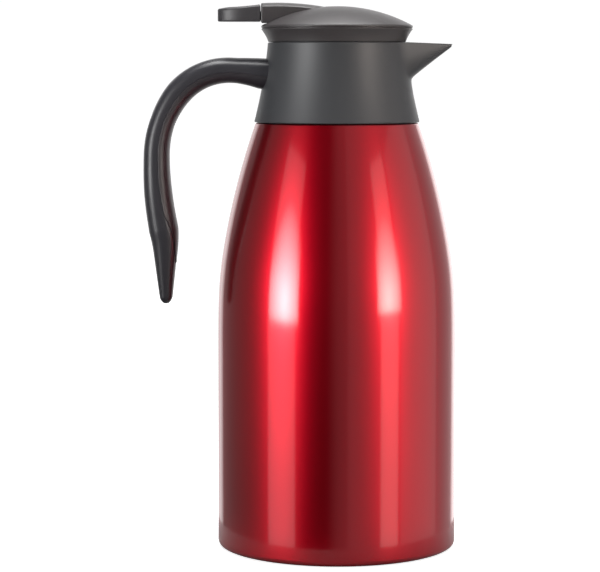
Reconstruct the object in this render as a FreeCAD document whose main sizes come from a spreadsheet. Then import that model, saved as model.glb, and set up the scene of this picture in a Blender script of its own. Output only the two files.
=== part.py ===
"""Vacuum-insulated coffee carafe with a screw-in lid and a thumb lever, modelled in millimetres.

+Z is up along the bottle's axis, +X points to the spout and the handle is on -X. The origin is the
centre of the foot, on the surface that the carafe stands on. Each separate piece is one node.
"""

import FreeCAD, Part
import math
import os

import Sketcher

DIMENSIONS = {
    # pressed steel bottle
    "body_radius": 65,
    "shell_wall": 0.6,
    "foot_inner_radius": 57,
    "foot_corner_radius": 3,
    "shell_straight": 128.07,
    "shoulder_radius_low": 150.7,
    "shoulder_angle_low": 8.02,
    "shoulder_radius_high": 409.1,
    "shoulder_angle_high": 11.28,
    "fold_radius": 1.2,
    "fold_heading": 175,
    "ledge_run": 7.26,
    "neck_root_radius": 2.5,
    "neck_run": 12.425,
    # inner bottle
    "liner_wall": 0.5,
    "liner_floor_height": 10.5,
    "liner_floor_run": 48,
    "liner_corner_radius": 12.5,
    "liner_straight": 105,
    "liner_shoulder_radius": 260,
    "liner_shoulder_angle": 16,
    "liner_throat_radius": 35,
    "liner_throat_angle": 39,
    "liner_throat_run": 2.38,
    "liner_neck_root_radius": 8,
    "liner_neck_run": 19,
    "lip_radius": 1,
    "lip_run": 1.5,
    "foil_radius": 60.7,
    "foil_wall": 0.15,
    "foil_bottom": 30,
    "foil_height": 94,
    # base
    "port_radius": 1.5,
    "base_height": 3,
    "base_run": 49.5,
    "base_step_radius": 1,
    "base_step_angle": 45,
    "base_step_run": 2.537,
    "base_flange_run": 6,
    "seal_bead_radius": 4,
    "seal_bead_drop": 0.9,
    "getter_radius": 6,
    "getter_height": 2.2,
    "getter_offset": 25,
    # collar
    "collar_bottom": 231.4,
    "collar_top": 274.3,
    "collar_bottom_radius": 44.9,
    "collar_top_radius": 37.4,
    "collar_flare_radius": 255,
    "collar_wall": 2.4,
    "chamber_radius": 35.3,
    "chamber_bottom": 262,
    "shelf_top": 259.5,
    "shelf_bottom": 258.2,
    "shelf_inner_radius": 33.3,
    "shelf_outer_radius": 36.9,
    "rim_round": 0.5,
    # threaded insert ring
    "insert_bottom": 242,
    "insert_flange_top": 244.2,
    "insert_flange_radius": 39.3,
    "insert_radius": 35.2,
    "insert_neck_bore": 34.15,
    "insert_thread_bottom": 248.4,
    "insert_top": 258.1,
    "female_root": 33,
    "female_crest": 31.2,
    "gasket_inner": 31.3,
    "gasket_outer": 33.9,
    "gasket_bottom": 247.15,
    "gasket_top": 248.35,
    # spout
    "spout_root_x": 30,
    "spout_tip_x": 62.1,
    "spout_root_half_width": 20.5,
    "spout_tip_half_width": 2,
    "spout_root_depth": 27.2,
    "spout_tip_depth": 1.5,
    "spout_tip_top": 273.5,
    "spout_wall": 2,
    "channel_tip_x": 60.6,
    "channel_root_depth": 17.6,
    "channel_floor": 260,
    # thread
    "thread_lead": 18,
    "thread_starts": 3,
    "thread_sweep": 80,
    "thread_root_height": 2.6,
    "thread_crest_height": 1.2,
    "thread_bite": 0.6,
    "female_thread_z": 252.4,
    "thread_play": 2.1,
    # stopper cup
    "cup_bottom": 228.5,
    "cup_floor": 231,
    "cup_wall_radius": 28.9,
    "cup_bore": 26.2,
    "cup_edge_round": 1.5,
    "seat_radius": 12,
    "groove_radius": 27.4,
    "groove_bottom": 236,
    "groove_top": 242,
    "cup_flange_radius": 30.5,
    "male_root": 30.7,
    "male_crest": 32.5,
    "thread_core_bottom": 246.5,
    "thread_core_top": 258.5,
    "cup_neck_radius": 28,
    "cup_top": 273,
    "window_width": 17,
    "window_bottom": 260.5,
    "window_height": 9.5,
    "boss_radius": 3.4,
    "boss_circle": 23.2,
    "boss_bottom": 261,
    "boss_bore": 1.5,
    "lip_seal_radius": 30.7,
    # lid deck
    "deck_top": 275.5,
    "deck_radius": 34.9,
    "deck_snap_radius": 35.4,
    "deck_snap_top": 277.5,
    "deck_rim_inner": 33,
    "guide_bore": 3.1,
    "guide_boss_radius": 7,
    "guide_boss_top": 278.3,
    "gland_radius": 5,
    "gland_top": 275,
    "washer_radius": 7.5,
    "washer_bottom": 272.2,
    "screw_hole": 1.6,
    "ear_inner": 5.9,
    "ear_width": 2.1,
    "ear_foot_left": -32.5,
    "ear_foot_right": -24,
    "ear_round": 3.3,
    # cover: dome, skirt and lever hood
    "skirt_bottom": 275.3,
    "skirt_bottom_radius": 37.3,
    "skirt_top": 281.9,
    "skirt_top_radius": 40.8,
    "skirt_flare_radius": 23,
    "rim_top": 283.9,
    "rim_top_radius": 40.2,
    "rim_radius": 1.2,
    "dome_radius": 85,
    "dome_top": 293.8,
    "cover_wall": 2,
    "cover_inner_top": 283,
    "cover_inner_top_radius": 37.6,
    "skirt_inner_radius": 35.5,
    "hood_half_width": 10,
    "hood_top": 295.7,
    "hood_centre_x": -32.5,
    "hood_arc_radius": 150,
    "hood_crown_radius": 29.5,
    "hood_wall": 1.8,
    "hood_floor": 284.2,
    "hood_mouth_x": -41,
    "hood_inner_end_x": -4,
    "hood_outer_bottom": 284.9,
    # thumb lever
    "pivot_x": -35,
    "pivot_z": 287.4,
    "pin_radius": 1.5,
    "pin_clearance": 0.05,
    "pin_length": 15.8,
    "tab_tip_x": -64.4,
    "tab_shoulder_x": -41.5,
    "tab_bottom": 285.5,
    "tab_half_width": 10,
    "tab_nose_length": 17,
    "dish_radius": 62,
    "dish_centre_x": -54,
    "dish_depth": 0.9,
    "arm_half_width": 5.6,
    "arm_root_top": 291,
    "arm_root_bottom": 286.3,
    "arm_knee_x": -27,
    "arm_knee_top": 289.6,
    "arm_knee_bottom": 284.8,
    "nose_radius": 10,
    "nose_top": 283.4,
    "nose_reach": 4,
    "nose_back": -5,
    "nose_thickness": 3.2,
    "fork_half_gap": 3.4,
    # valve
    "stem_radius": 3,
    "foot_radius": 10.5,
    "foot_bottom": 229,
    "seal_radius": 15,
    "seal_top": 233.6,
    "hub_radius": 12,
    "hub_top": 235.4,
    "spring_seat_bottom": 248.4,
    "spring_seat_top": 250,
    "spring_seat_radius": 8,
    "stem_top": 283.7,
    "tip_radius": 1.9,
    "tip_top": 285,
    "cap_radius": 5.6,
    "cap_top": 286,
    "spring_radius": 5.6,
    "spring_wire": 0.5,
    "spring_turns": 6,
    # fasteners
    "screw_radius": 1.45,
    "screw_head_radius": 2.6,
    "screw_head_height": 1.8,
    "deck_screw_length": 13,
    "handle_screw_y": 6,
    "handle_screw_z": 254.6,
    "handle_screw_tip_x": -48,
    "handle_screw_head_x": -36.1,
    "handle_screw_head_height": 1.3,
    # handle
    "handle_start_x": -33.5,
    "handle_start_z": 256.2,
    "handle_start_heading": 169.4,
    "handle_root_run": 6.3,
    "handle_root_radius": 122,
    "handle_root_angle": 8.2,
    "handle_crook_radius": 35.9,
    "handle_crook_angle": 57.9,
    "handle_back_radius": 54.7,
    "handle_back_angle": 33,
    "handle_grip_radius": 180,
    "handle_grip_angle": 11.2,
    "handle_grip_run": 5.2,
    "handle_tail_radius": 78.4,
    "handle_tail_angle": 9.2,
    "handle_tail_run": 29,
    "handle_station_gap": 7,
    "handle_wall": 2.4,
    "handle_solid_root": 17,
    "handle_solid_tail": 40,
    "cover_start": 16,
    "cover_tail": 24,
    "handle_corner_power": 2.7,
}

# share of the handle's length, its thickness and its width there
HANDLE_GIRTH = [
    (0.0, 18.6, 27.0),
    (0.04, 16.8, 26.5),
    (0.08, 15.0, 26.0),
    (0.12, 13.7, 25.5),
    (0.32, 14.4, 25.0),
    (0.42, 13.5, 25.0),
    (0.57, 14.3, 25.5),
    (0.65, 15.2, 26.0),
    (0.77, 16.0, 25.5),
    (0.97, 7.6, 15.0),
    (1.0, 4.6, 9.0),
]
# share of the handle's length, and where the seam lies as a share of the thickness there
HANDLE_SEAM = [
    (0.0, 0.08),
    (0.62, 0.10),
    (0.72, 0.16),
    (0.80, 0.36),
    (0.87, 0.58),
    (1.0, 0.60),
]

SMALLEST = 1e-9


class Size:
    """A length or angle that carries both its value and the sheet expression that gives it."""

    def __init__(self, value, text):
        self.value = value
        self.text = text

    def __add__(self, other):
        other = as_size(other)
        return Size(self.value + other.value, f"({self.text} + {other.text})")

    def __radd__(self, other):
        return as_size(other) + self

    def __sub__(self, other):
        other = as_size(other)
        return Size(self.value - other.value, f"({self.text} - {other.text})")

    def __rsub__(self, other):
        return as_size(other) - self

    def __mul__(self, other):
        other = as_size(other)
        return Size(self.value * other.value, f"({self.text} * {other.text})")

    def __rmul__(self, other):
        return as_size(other) * self

    def __truediv__(self, other):
        other = as_size(other)
        return Size(self.value / other.value, f"({self.text} / {other.text})")

    def __neg__(self):
        return Size(-self.value, f"(0 - {self.text})")


def as_size(number):
    """A plain number as a Size, so that formulas can mix the two."""
    return number if isinstance(number, Size) else Size(float(number), f"({number})")


def sine(angle):
    """Sine of an angle in degrees, as a Size."""
    angle = as_size(angle)
    return Size(math.sin(math.radians(angle.value)), f"sin({angle.text})")


def cosine(angle):
    """Cosine of an angle in degrees, as a Size."""
    angle = as_size(angle)
    return Size(math.cos(math.radians(angle.value)), f"cos({angle.text})")


def root(number):
    """Square root, as a Size."""
    return Size(math.sqrt(number.value), f"sqrt({number.text})")


doc = FreeCAD.newDocument("carafe")


def write_sheet():
    """Puts every driving dimension in the document's sheet: its name in column A, its value in B."""
    sheet = doc.addObject("Spreadsheet::Sheet", "Sizes")
    for row, (alias, value) in enumerate(DIMENSIONS.items(), start=1):
        sheet.set(f"A{row}", alias)
        sheet.set(f"B{row}", str(value))
        sheet.setAlias(f"B{row}", alias)
    doc.recompute()
    return sheet


SHEET = write_sheet()


class Lookup:
    """Reads a dimension from the sheet by its alias: size.body_radius."""

    def __getattr__(self, alias):
        return Size(float(getattr(SHEET, alias)), f"Sizes.{alias}")


size = Lookup()
nodes = {}


def bind(thing, property_name, value):
    """Ties one property of an object to a sheet expression."""
    thing.setExpression(property_name, as_size(value).text)


def node(label, thing):
    """Names a finished piece and lists it for export."""
    thing.Label = label
    nodes[label] = thing
    return thing


def place(thing, x=0, y=0, z=0):
    """Binds an object's position to the sheet."""
    for axis, value in zip("xyz", (x, y, z)):
        bind(thing, f"Placement.Base.{axis}", value)
    return thing


# ---------------------------------------------------------------- sketches and features


def new_body(name):
    """An empty PartDesign body."""
    return doc.addObject("PartDesign::Body", name)


def new_sketch(body, plane, name):
    """A sketch on one of the body's own origin planes: XY_Plane, XZ_Plane or YZ_Plane."""
    sketch = body.newObject("Sketcher::SketchObject", name)
    origin = [f for f in body.Origin.OriginFeatures if f.Role == plane][0]
    sketch.AttachmentSupport = [(origin, "")]
    sketch.MapMode = "FlatFace"
    return sketch


def arc_between(start, end, radius, turn):
    """The minor arc of that radius from start to end, turning left (1) or right (-1)."""
    half = (end - start) * 0.5
    reach = math.sqrt(max(radius * radius - half.Length**2, 0.0))
    left = FreeCAD.Vector(-half.y, half.x, 0).normalize()
    centre = start + half + left * (reach * turn)
    first, last = (start, end) if turn > 0 else (end, start)
    angles = [math.atan2(p.y - centre.y, p.x - centre.x) for p in (first, last)]
    if angles[1] < angles[0]:
        angles[1] += 2 * math.pi
    return Part.ArcOfCircle(Part.Circle(centre, FreeCAD.Vector(0, 0, 1), radius), *angles)


def draw(sketch, points):
    """Draws a closed outline. A point is (x, y), or (x, y, radius, turn) where an arc leads to it.

    Every corner is tied to the sheet by its distances from the origin, and every arc by its radius.
    """
    corners = [FreeCAD.Vector(as_size(p[0]).value, as_size(p[1]).value, 0) for p in points]
    shapes = []
    for i, point in enumerate(points):
        start = corners[i - 1]
        if len(point) == 2:
            shapes.append(Part.LineSegment(start, corners[i]))
        else:
            shapes.append(arc_between(start, corners[i], as_size(point[2]).value, point[3]))
    ids = sketch.addGeometry(shapes, False)

    def ends(i):
        backwards = len(points[i]) == 4 and points[i][3] < 0
        return (2, 1) if backwards else (1, 2)

    for i, point in enumerate(points):
        following = (i + 1) % len(points)
        this_end, next_start = ends(i)[1], ends(following)[0]
        sketch.addConstraint(
            Sketcher.Constraint("Coincident", ids[i], this_end, ids[following], next_start)
        )
        for kind, axis, value in (("DistanceX", -2, point[0]), ("DistanceY", -1, point[1])):
            value = as_size(value)
            if abs(value.value) < SMALLEST:
                sketch.addConstraint(Sketcher.Constraint("PointOnObject", ids[i], this_end, axis))
                continue
            made = sketch.addConstraint(
                Sketcher.Constraint(kind, -1, 1, ids[i], this_end, value.value)
            )
            sketch.setExpression(f"Constraints[{made}]", value.text)
        if len(point) == 4:
            radius = as_size(point[2])
            made = sketch.addConstraint(Sketcher.Constraint("Radius", ids[i], radius.value))
            sketch.setExpression(f"Constraints[{made}]", radius.text)
    return sketch


def turned(name, points):
    """A solid of revolution about Z from an outline in (radius, height)."""
    body = new_body(name)
    sketch = draw(new_sketch(body, "XZ_Plane", name + "_outline"), points)
    revolution = body.newObject("PartDesign::Revolution", name + "_turn")
    revolution.Profile = (sketch, [""])
    revolution.ReferenceAxis = (sketch, ["V_Axis"])
    revolution.Angle = 360
    return body


def extruded(name, plane, points, length, offset=0):
    """A prism from an outline on an origin plane, centred on that plane or moved along its normal."""
    body = new_body(name)
    sketch = draw(new_sketch(body, plane, name + "_outline"), points)
    pad = body.newObject("PartDesign::Pad", name + "_pad")
    pad.Profile = (sketch, [""])
    pad.Midplane = True
    bind(pad, "Length", length)
    axis = {"XY_Plane": "z", "XZ_Plane": "y", "YZ_Plane": "x"}[plane]
    bind(body, f"Placement.Base.{axis}", offset)
    return body


def box(name, corner, sides):
    """A box from its lowest corner and its three sides."""
    made = doc.addObject("Part::Box", name)
    for property_name, side in zip(("Length", "Width", "Height"), sides):
        bind(made, property_name, side)
    return place(made, *corner)


def rod(name, radius, bottom, height, x=0, y=0):
    """A cylinder along Z."""
    made = doc.addObject("Part::Cylinder", name)
    bind(made, "Radius", radius)
    bind(made, "Height", height)
    return place(made, x, y, bottom)


def joined(name, *things):
    """The union of several objects."""
    fuse = doc.addObject("Part::MultiFuse", name)
    fuse.Shapes = list(things)
    fuse.Refine = True
    return fuse


def cut(name, base, *tools):
    """The base less all the tools."""
    result = base
    for count, tool in enumerate(tools):
        step = doc.addObject("Part::Cut", f"{name}_{count}" if count + 1 < len(tools) else name)
        step.Base = result
        step.Tool = tool
        result = step
    return result


def common(name, one, other):
    """What two objects share."""
    made = doc.addObject("Part::Common", name)
    made.Base = one
    made.Tool = other
    return made


def turned_copies(name, thing, count, first_angle=0):
    """Equally spaced copies of an object about the Z axis, fused together."""
    copies = []
    for index in range(count):
        copy = doc.addObject("Part::Compound", f"{name}_{index}")
        copy.Links = [thing]
        copy.Placement.Rotation = FreeCAD.Rotation(
            FreeCAD.Vector(0, 0, 1), first_angle + index * 360 / count
        )
        copies.append(copy)
    group = doc.addObject("Part::Compound", name)
    group.Links = copies
    return group


# ---------------------------------------------------------------- pressed sheet steel


def run(length):
    """A straight stretch of a pressed wall."""
    return ("run", as_size(length), None)


def bend(radius, angle):
    """A bend of a pressed wall, to the left for a positive angle; the radius is the outer skin's."""
    return ("bend", as_size(radius), as_size(angle))


def pressed(name, start, heading, moves, wall):
    """A turned piece of constant wall. The moves trace its outer skin, and the wall lies to the left."""
    x, z = (as_size(v) for v in start)
    heading = as_size(heading)

    def inner():
        return (x - wall * sine(heading), z + wall * cosine(heading))

    outer_skin = [(x, z)]
    inner_skin = [inner()]
    for kind, length, angle in moves:
        if kind == "run":
            x, z = x + length * cosine(heading), z + length * sine(heading)
            outer_skin.append((x, z))
            inner_skin.append(inner())
            continue
        turn = 1 if angle.value > 0 else -1
        after = heading + angle
        x = x + turn * length * (sine(after) - sine(heading))
        z = z + turn * length * (cosine(heading) - cosine(after))
        heading = after
        outer_skin.append((x, z, length, turn))
        inner_skin.append((*inner(), length - turn * wall, turn))
    # the inner skin is walked backwards, so each arc belongs to the point before it
    back = []
    arc = ()
    for point in reversed(inner_skin):
        back.append(tuple(point[:2]) + arc)
        arc = (point[2], -point[3]) if len(point) == 4 else ()
    return turned(name, outer_skin + back)


def make_bottle():
    """The steel bottle: shell, liner, foil, base plate, its seal and the getter."""
    shell = pressed(
        "outer_shell",
        (size.foot_inner_radius, 0),
        0,
        [
            run(size.body_radius - size.foot_corner_radius - size.foot_inner_radius),
            bend(size.foot_corner_radius, 90),
            run(size.shell_straight),
            bend(size.shoulder_radius_low, size.shoulder_angle_low),
            bend(size.shoulder_radius_high, size.shoulder_angle_high),
            bend(
                size.fold_radius,
                size.fold_heading
                - 90
                - size.shoulder_angle_low
                - size.shoulder_angle_high,
            ),
            run(size.ledge_run),
            bend(size.neck_root_radius, 90 - size.fold_heading),
            run(size.neck_run),
        ],
        size.shell_wall,
    )
    node("outer_shell", shell)
    liner = pressed(
        "inner_liner",
        (0, size.liner_floor_height),
        0,
        [
            run(size.liner_floor_run),
            bend(size.liner_corner_radius, 90),
            run(size.liner_straight),
            bend(size.liner_shoulder_radius, size.liner_shoulder_angle),
            bend(size.liner_throat_radius, size.liner_throat_angle),
            run(size.liner_throat_run),
            bend(
                size.liner_neck_root_radius,
                -size.liner_shoulder_angle - size.liner_throat_angle,
            ),
            run(size.liner_neck_run),
            bend(size.lip_radius, -90),
            run(size.lip_run),
        ],
        size.liner_wall,
    )
    node("inner_liner", liner)
    foil_outer = size.foil_radius + size.foil_wall
    foil_top = size.foil_bottom + size.foil_height
    node(
        "radiation_foil",
        turned(
            "radiation_foil",
            [
                (size.foil_radius, size.foil_bottom),
                (foil_outer, size.foil_bottom),
                (foil_outer, foil_top),
                (size.foil_radius, foil_top),
            ],
        ),
    )
    plate = pressed(
        "base_plate",
        (size.port_radius, size.base_height),
        0,
        [
            run(size.base_run),
            bend(size.base_step_radius, -size.base_step_angle),
            run(size.base_step_run),
            bend(size.base_step_radius, size.base_step_angle),
            run(size.base_flange_run),
        ],
        size.shell_wall,
    )
    node("base_plate", plate)
    bead_bottom = size.base_height - size.seal_bead_drop
    node(
        "evacuation_seal",
        turned(
            "evacuation_seal",
            [
                (0, bead_bottom),
                (size.seal_bead_radius * 0.6, bead_bottom),
                (size.seal_bead_radius, size.base_height, size.seal_bead_radius * 0.6, 1),
                (size.port_radius, size.base_height),
                (size.port_radius, size.base_height + size.shell_wall),
                (0, size.base_height + size.shell_wall),
            ],
        ),
    )
    node(
        "getter",
        rod(
            "getter",
            size.getter_radius,
            size.liner_floor_height - size.getter_height,
            size.getter_height,
            x=size.getter_offset,
        ),
    )


# ---------------------------------------------------------------- threads


def thread_ribs(name, root_radius, crest_radius, middle_z):
    """The ribs of a multi-start right-hand thread, as a compound of helical sweeps.

    The rib's root is buried in its wall by thread_bite, and its crest faces the mating part.
    """
    outwards = 1 if crest_radius.value > root_radius.value else -1
    buried = root_radius - outwards * size.thread_bite
    half_root = size.thread_root_height / 2
    half_crest = size.thread_crest_height / 2
    profile = doc.addObject("Part::Feature", name + "_profile")
    corners = [
        FreeCAD.Vector(buried.value, 0, (middle_z - half_root).value),
        FreeCAD.Vector(crest_radius.value, 0, (middle_z - half_crest).value),
        FreeCAD.Vector(crest_radius.value, 0, (middle_z + half_crest).value),
        FreeCAD.Vector(buried.value, 0, (middle_z + half_root).value),
    ]
    profile.Shape = Part.makePolygon(corners + corners[:1])
    helix = doc.addObject("Part::Helix", name + "_helix")
    bind(helix, "Pitch", size.thread_lead)
    bind(helix, "Height", size.thread_lead * size.thread_sweep / 360)
    bind(helix, "Radius", crest_radius)
    bind(helix, "Placement.Base.z", middle_z)
    sweep = doc.addObject("Part::Sweep", name + "_rib")
    sweep.Sections = [profile]
    sweep.Spine = (helix, [])
    sweep.Solid = True
    sweep.Frenet = True
    return turned_copies(name, sweep, int(size.thread_starts.value))


# ---------------------------------------------------------------- collar and spout


def spout_section(x, half_width, top, depth):
    """A U-shaped closed wire across the spout at one X: flat top, upright sides, rounded bottom."""
    corner = min(half_width, depth) * 0.52
    low = top - depth

    def point(y, z):
        return FreeCAD.Vector(x, y, z)

    slant = corner * (1 - math.sqrt(0.5))
    edges = [
        Part.LineSegment(point(half_width, top), point(half_width, low + corner)),
        Part.Arc(
            point(half_width, low + corner),
            point(half_width - slant, low + slant),
            point(half_width - corner, low),
        ),
        Part.LineSegment(point(half_width - corner, low), point(corner - half_width, low)),
        Part.Arc(
            point(corner - half_width, low),
            point(slant - half_width, low + slant),
            point(-half_width, low + corner),
        ),
        Part.LineSegment(point(-half_width, low + corner), point(-half_width, top)),
        Part.LineSegment(point(-half_width, top), point(half_width, top)),
    ]
    return Part.Wire([edge.toShape() for edge in edges])


def spout_loft(name, sections):
    """A straight-sided loft through spout sections, as a document object."""
    wires = [spout_section(*section) for section in sections]
    made = doc.addObject("Part::Feature", name)
    made.Shape = Part.makeLoft(wires, True, True)
    return made


def make_collar():
    """The plastic collar with its spout, the threaded ring inside it and the seal on the steel lip."""
    top_inside = size.collar_top_radius - size.rim_round
    outer = turned(
        "collar_outside",
        [
            (0, size.collar_bottom),
            (size.collar_bottom_radius, size.collar_bottom),
            (
                size.collar_top_radius,
                size.collar_top - size.rim_round,
                size.collar_flare_radius,
                -1,
            ),
            (top_inside, size.collar_top, size.rim_round, 1),
            (0, size.collar_top),
        ],
    )
    void = turned(
        "collar_void",
        [
            (0, size.collar_bottom - 1),
            (size.collar_bottom_radius - size.collar_wall, size.collar_bottom - 1),
            (size.collar_bottom_radius - size.collar_wall, size.collar_bottom),
            (
                size.shelf_outer_radius,
                size.shelf_bottom,
                size.collar_flare_radius + size.collar_wall,
                -1,
            ),
            (size.shelf_inner_radius, size.shelf_bottom),
            (size.shelf_inner_radius, size.shelf_top),
            (size.chamber_radius, size.chamber_bottom),
            (size.chamber_radius, size.collar_top + 1),
            (0, size.collar_top + 1),
        ],
    )
    root_x, tip_x = size.spout_root_x.value, size.spout_tip_x.value
    wall = size.spout_wall.value
    top = size.collar_top.value
    tip_top = size.spout_tip_top.value
    beak = spout_loft(
        "spout_outside",
        [
            (root_x, size.spout_root_half_width.value, top, size.spout_root_depth.value),
            (tip_x, size.spout_tip_half_width.value, tip_top, size.spout_tip_depth.value),
        ],
    )
    over = 3
    channel_x = size.channel_tip_x.value
    channel = spout_loft(
        "spout_channel",
        [
            (
                root_x,
                size.spout_root_half_width.value - wall,
                top + over,
                size.channel_root_depth.value + over,
            ),
            (channel_x, 0.9, tip_top + over, 0.9 + over),
        ],
    )
    outside = joined("collar_and_spout", outer, beak)
    below = box("channel_limit", (0, -30, size.channel_floor - 20), (90, 60, 20))
    bores = [handle_screw(f"collar_bore_{side}", side, 0.1) for side in (-1, 1)]
    collar = cut("collar", outside, void, cut("channel_clear", channel, below), *bores)
    node("collar", collar)

    ring = turned(
        "insert_ring",
        [
            (size.insert_neck_bore, size.insert_bottom),
            (size.insert_flange_radius, size.insert_bottom),
            (size.insert_flange_radius, size.insert_flange_top),
            (size.insert_radius, size.insert_flange_top),
            (size.insert_radius, size.insert_top),
            (size.female_root, size.insert_top),
            (size.female_root, size.insert_thread_bottom),
            (size.insert_neck_bore, size.insert_thread_bottom),
        ],
    )
    female = thread_ribs("female_ribs", size.female_root, size.female_crest, size.female_thread_z)
    node("thread_ring", joined("thread_ring", ring, female))
    node(
        "collar_gasket",
        turned(
            "collar_gasket",
            [
                (size.gasket_inner, size.gasket_bottom),
                (size.gasket_outer, size.gasket_bottom),
                (size.gasket_outer, size.gasket_top),
                (size.gasket_inner, size.gasket_top),
            ],
        ),
    )
    return outer


# ---------------------------------------------------------------- handle


def handle_spine():
    """The handle's centre line in the XZ plane: evenly spaced (distance, point, heading) stations."""
    moves = [
        (size.handle_root_run, 0),
        (size.handle_root_radius, size.handle_root_angle),
        (size.handle_crook_radius, size.handle_crook_angle),
        (size.handle_back_radius, size.handle_back_angle),
        (size.handle_grip_radius, size.handle_grip_angle),
        (size.handle_grip_run, 0),
        (size.handle_tail_radius, -size.handle_tail_angle),
        (size.handle_tail_run, 0),
    ]
    x, z = size.handle_start_x.value, size.handle_start_z.value
    heading = size.handle_start_heading.value
    travelled = 0.0
    line = [(travelled, x, z, heading)]
    for length, angle in moves:
        angle = as_size(angle).value
        distance = math.radians(abs(angle)) * length.value if angle else length.value
        steps = max(1, round(distance * 4))
        for _ in range(steps):
            middle = math.radians(heading + angle / steps / 2)
            x += distance / steps * math.cos(middle)
            z += distance / steps * math.sin(middle)
            heading += angle / steps
            travelled += distance / steps
            line.append((travelled, x, z, heading))
    count = round(travelled / size.handle_station_gap.value)
    stations = []
    for index in range(count + 1):
        wanted = travelled * index / count
        at, x, z, heading = min(line, key=lambda entry: abs(entry[0] - wanted))
        stations.append((at, FreeCAD.Vector(x, 0, z), heading))
    return stations


def between(table, share):
    """Reads a table of (share, value, ...) rows at a share, straight between its rows."""
    for low, high in zip(table, table[1:]):
        if share <= high[0]:
            blend = (share - low[0]) / (high[0] - low[0])
            return [a + (b - a) * blend for a, b in zip(low[1:], high[1:])]
    return list(table[-1][1:])


def handle_section(point, heading, thickness, width):
    """A rounded closed wire across the handle, square to its centre line."""
    power = 2 / size.handle_corner_power.value
    across = FreeCAD.Vector(-math.sin(math.radians(heading)), 0, math.cos(math.radians(heading)))
    corners = []
    count = 20
    for index in range(count):
        turn = 2 * math.pi * index / count
        c, s = math.cos(turn), math.sin(turn)
        n = math.copysign(abs(c) ** power, c) * thickness / 2
        y = math.copysign(abs(s) ** power, s) * width / 2
        corners.append(point + across * n + FreeCAD.Vector(0, y, 0))
    curve = Part.BSplineCurve()
    curve.interpolate(corners, PeriodicFlag=True)
    return Part.Wire(curve.toShape())


def handle_loft(name, stations, length, inset):
    """A solid through the handle's sections, each drawn in by inset."""
    wires = []
    for distance, point, heading in stations:
        thickness, width = between(HANDLE_GIRTH, distance / length)
        wires.append(handle_section(point, heading, thickness - 2 * inset, width - 2 * inset))
    made = doc.addObject("Part::Feature", name)
    made.Shape = Part.makeLoft(wires, True, False)
    return made


def palm_prism(name, stations, length):
    """A prism that holds everything on the palm side of the handle's seam."""
    near, far = [], []
    for distance, point, heading in stations:
        share = distance / length
        thickness = between(HANDLE_GIRTH, share)[0]
        angle = math.radians(heading)
        inwards = FreeCAD.Vector(-math.sin(angle), 0, math.cos(angle))
        near.append(point + inwards * thickness * between(HANDLE_SEAM, share)[0])
        far.append(point + inwards * 14)
    curve = Part.BSplineCurve()
    curve.interpolate(near)
    edges = [curve.toShape()]
    outline = [near[-1]] + far[::-1] + [near[0]]
    edges += [Part.LineSegment(a, b).toShape() for a, b in zip(outline, outline[1:])]
    face = Part.Face(Part.Wire(edges))
    face.translate(FreeCAD.Vector(0, -30, 0))
    made = doc.addObject("Part::Feature", name)
    made.Shape = face.extrude(FreeCAD.Vector(0, 60, 0))
    return made


def make_handle(collar_outside):
    """The handle: a hollow back shell, the cover on its palm side and its two screws."""
    stations = handle_spine()
    length = stations[-1][0]
    solid = handle_loft("handle_solid", stations, length, 0)
    start, end = size.handle_solid_root.value, length - size.handle_solid_tail.value
    hollow = [s for s in stations if start <= s[0] <= end]
    void = handle_loft("handle_void", hollow, length, size.handle_wall.value)
    trimmed = cut("handle_trimmed", solid, collar_outside)
    shell = cut("handle_hollow", trimmed, void)
    start, end = size.cover_start.value, length - size.cover_tail.value
    palm = palm_prism("handle_palm", [s for s in stations if start <= s[0] <= end], length)
    bores = [handle_screw(f"handle_bore_{side}", side, 0.05) for side in (-1, 1)]
    node("handle_shell", cut("handle_shell", shell, palm, *bores))
    node("handle_cover", common("handle_cover", shell, palm))
    screws = [handle_screw(f"handle_screw_{side}", side, 0) for side in (-1, 1)]
    group = doc.addObject("Part::Compound", "handle_screws")
    group.Links = screws
    node("handle_screws", group)


def handle_screw(name, side, clearance):
    """A screw that runs from inside the collar into the handle's root, or the bore for it."""
    screw = turned(
        name,
        [
            (0, 0),
            (size.screw_head_radius + clearance, 0),
            (size.screw_head_radius + clearance, size.handle_screw_head_height + clearance),
            (size.screw_radius + clearance, size.handle_screw_head_height + clearance),
            (
                size.screw_radius + clearance,
                size.handle_screw_head_x - size.handle_screw_tip_x - 1,
            ),
            (0, size.handle_screw_head_x - size.handle_screw_tip_x + clearance),
        ],
    )
    screw.Placement = FreeCAD.Placement(
        FreeCAD.Vector(), FreeCAD.Rotation(FreeCAD.Vector(0, 1, 0), -90)
    )
    return place(screw, size.handle_screw_head_x, side * size.handle_screw_y, size.handle_screw_z)


# ---------------------------------------------------------------- lid


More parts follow.
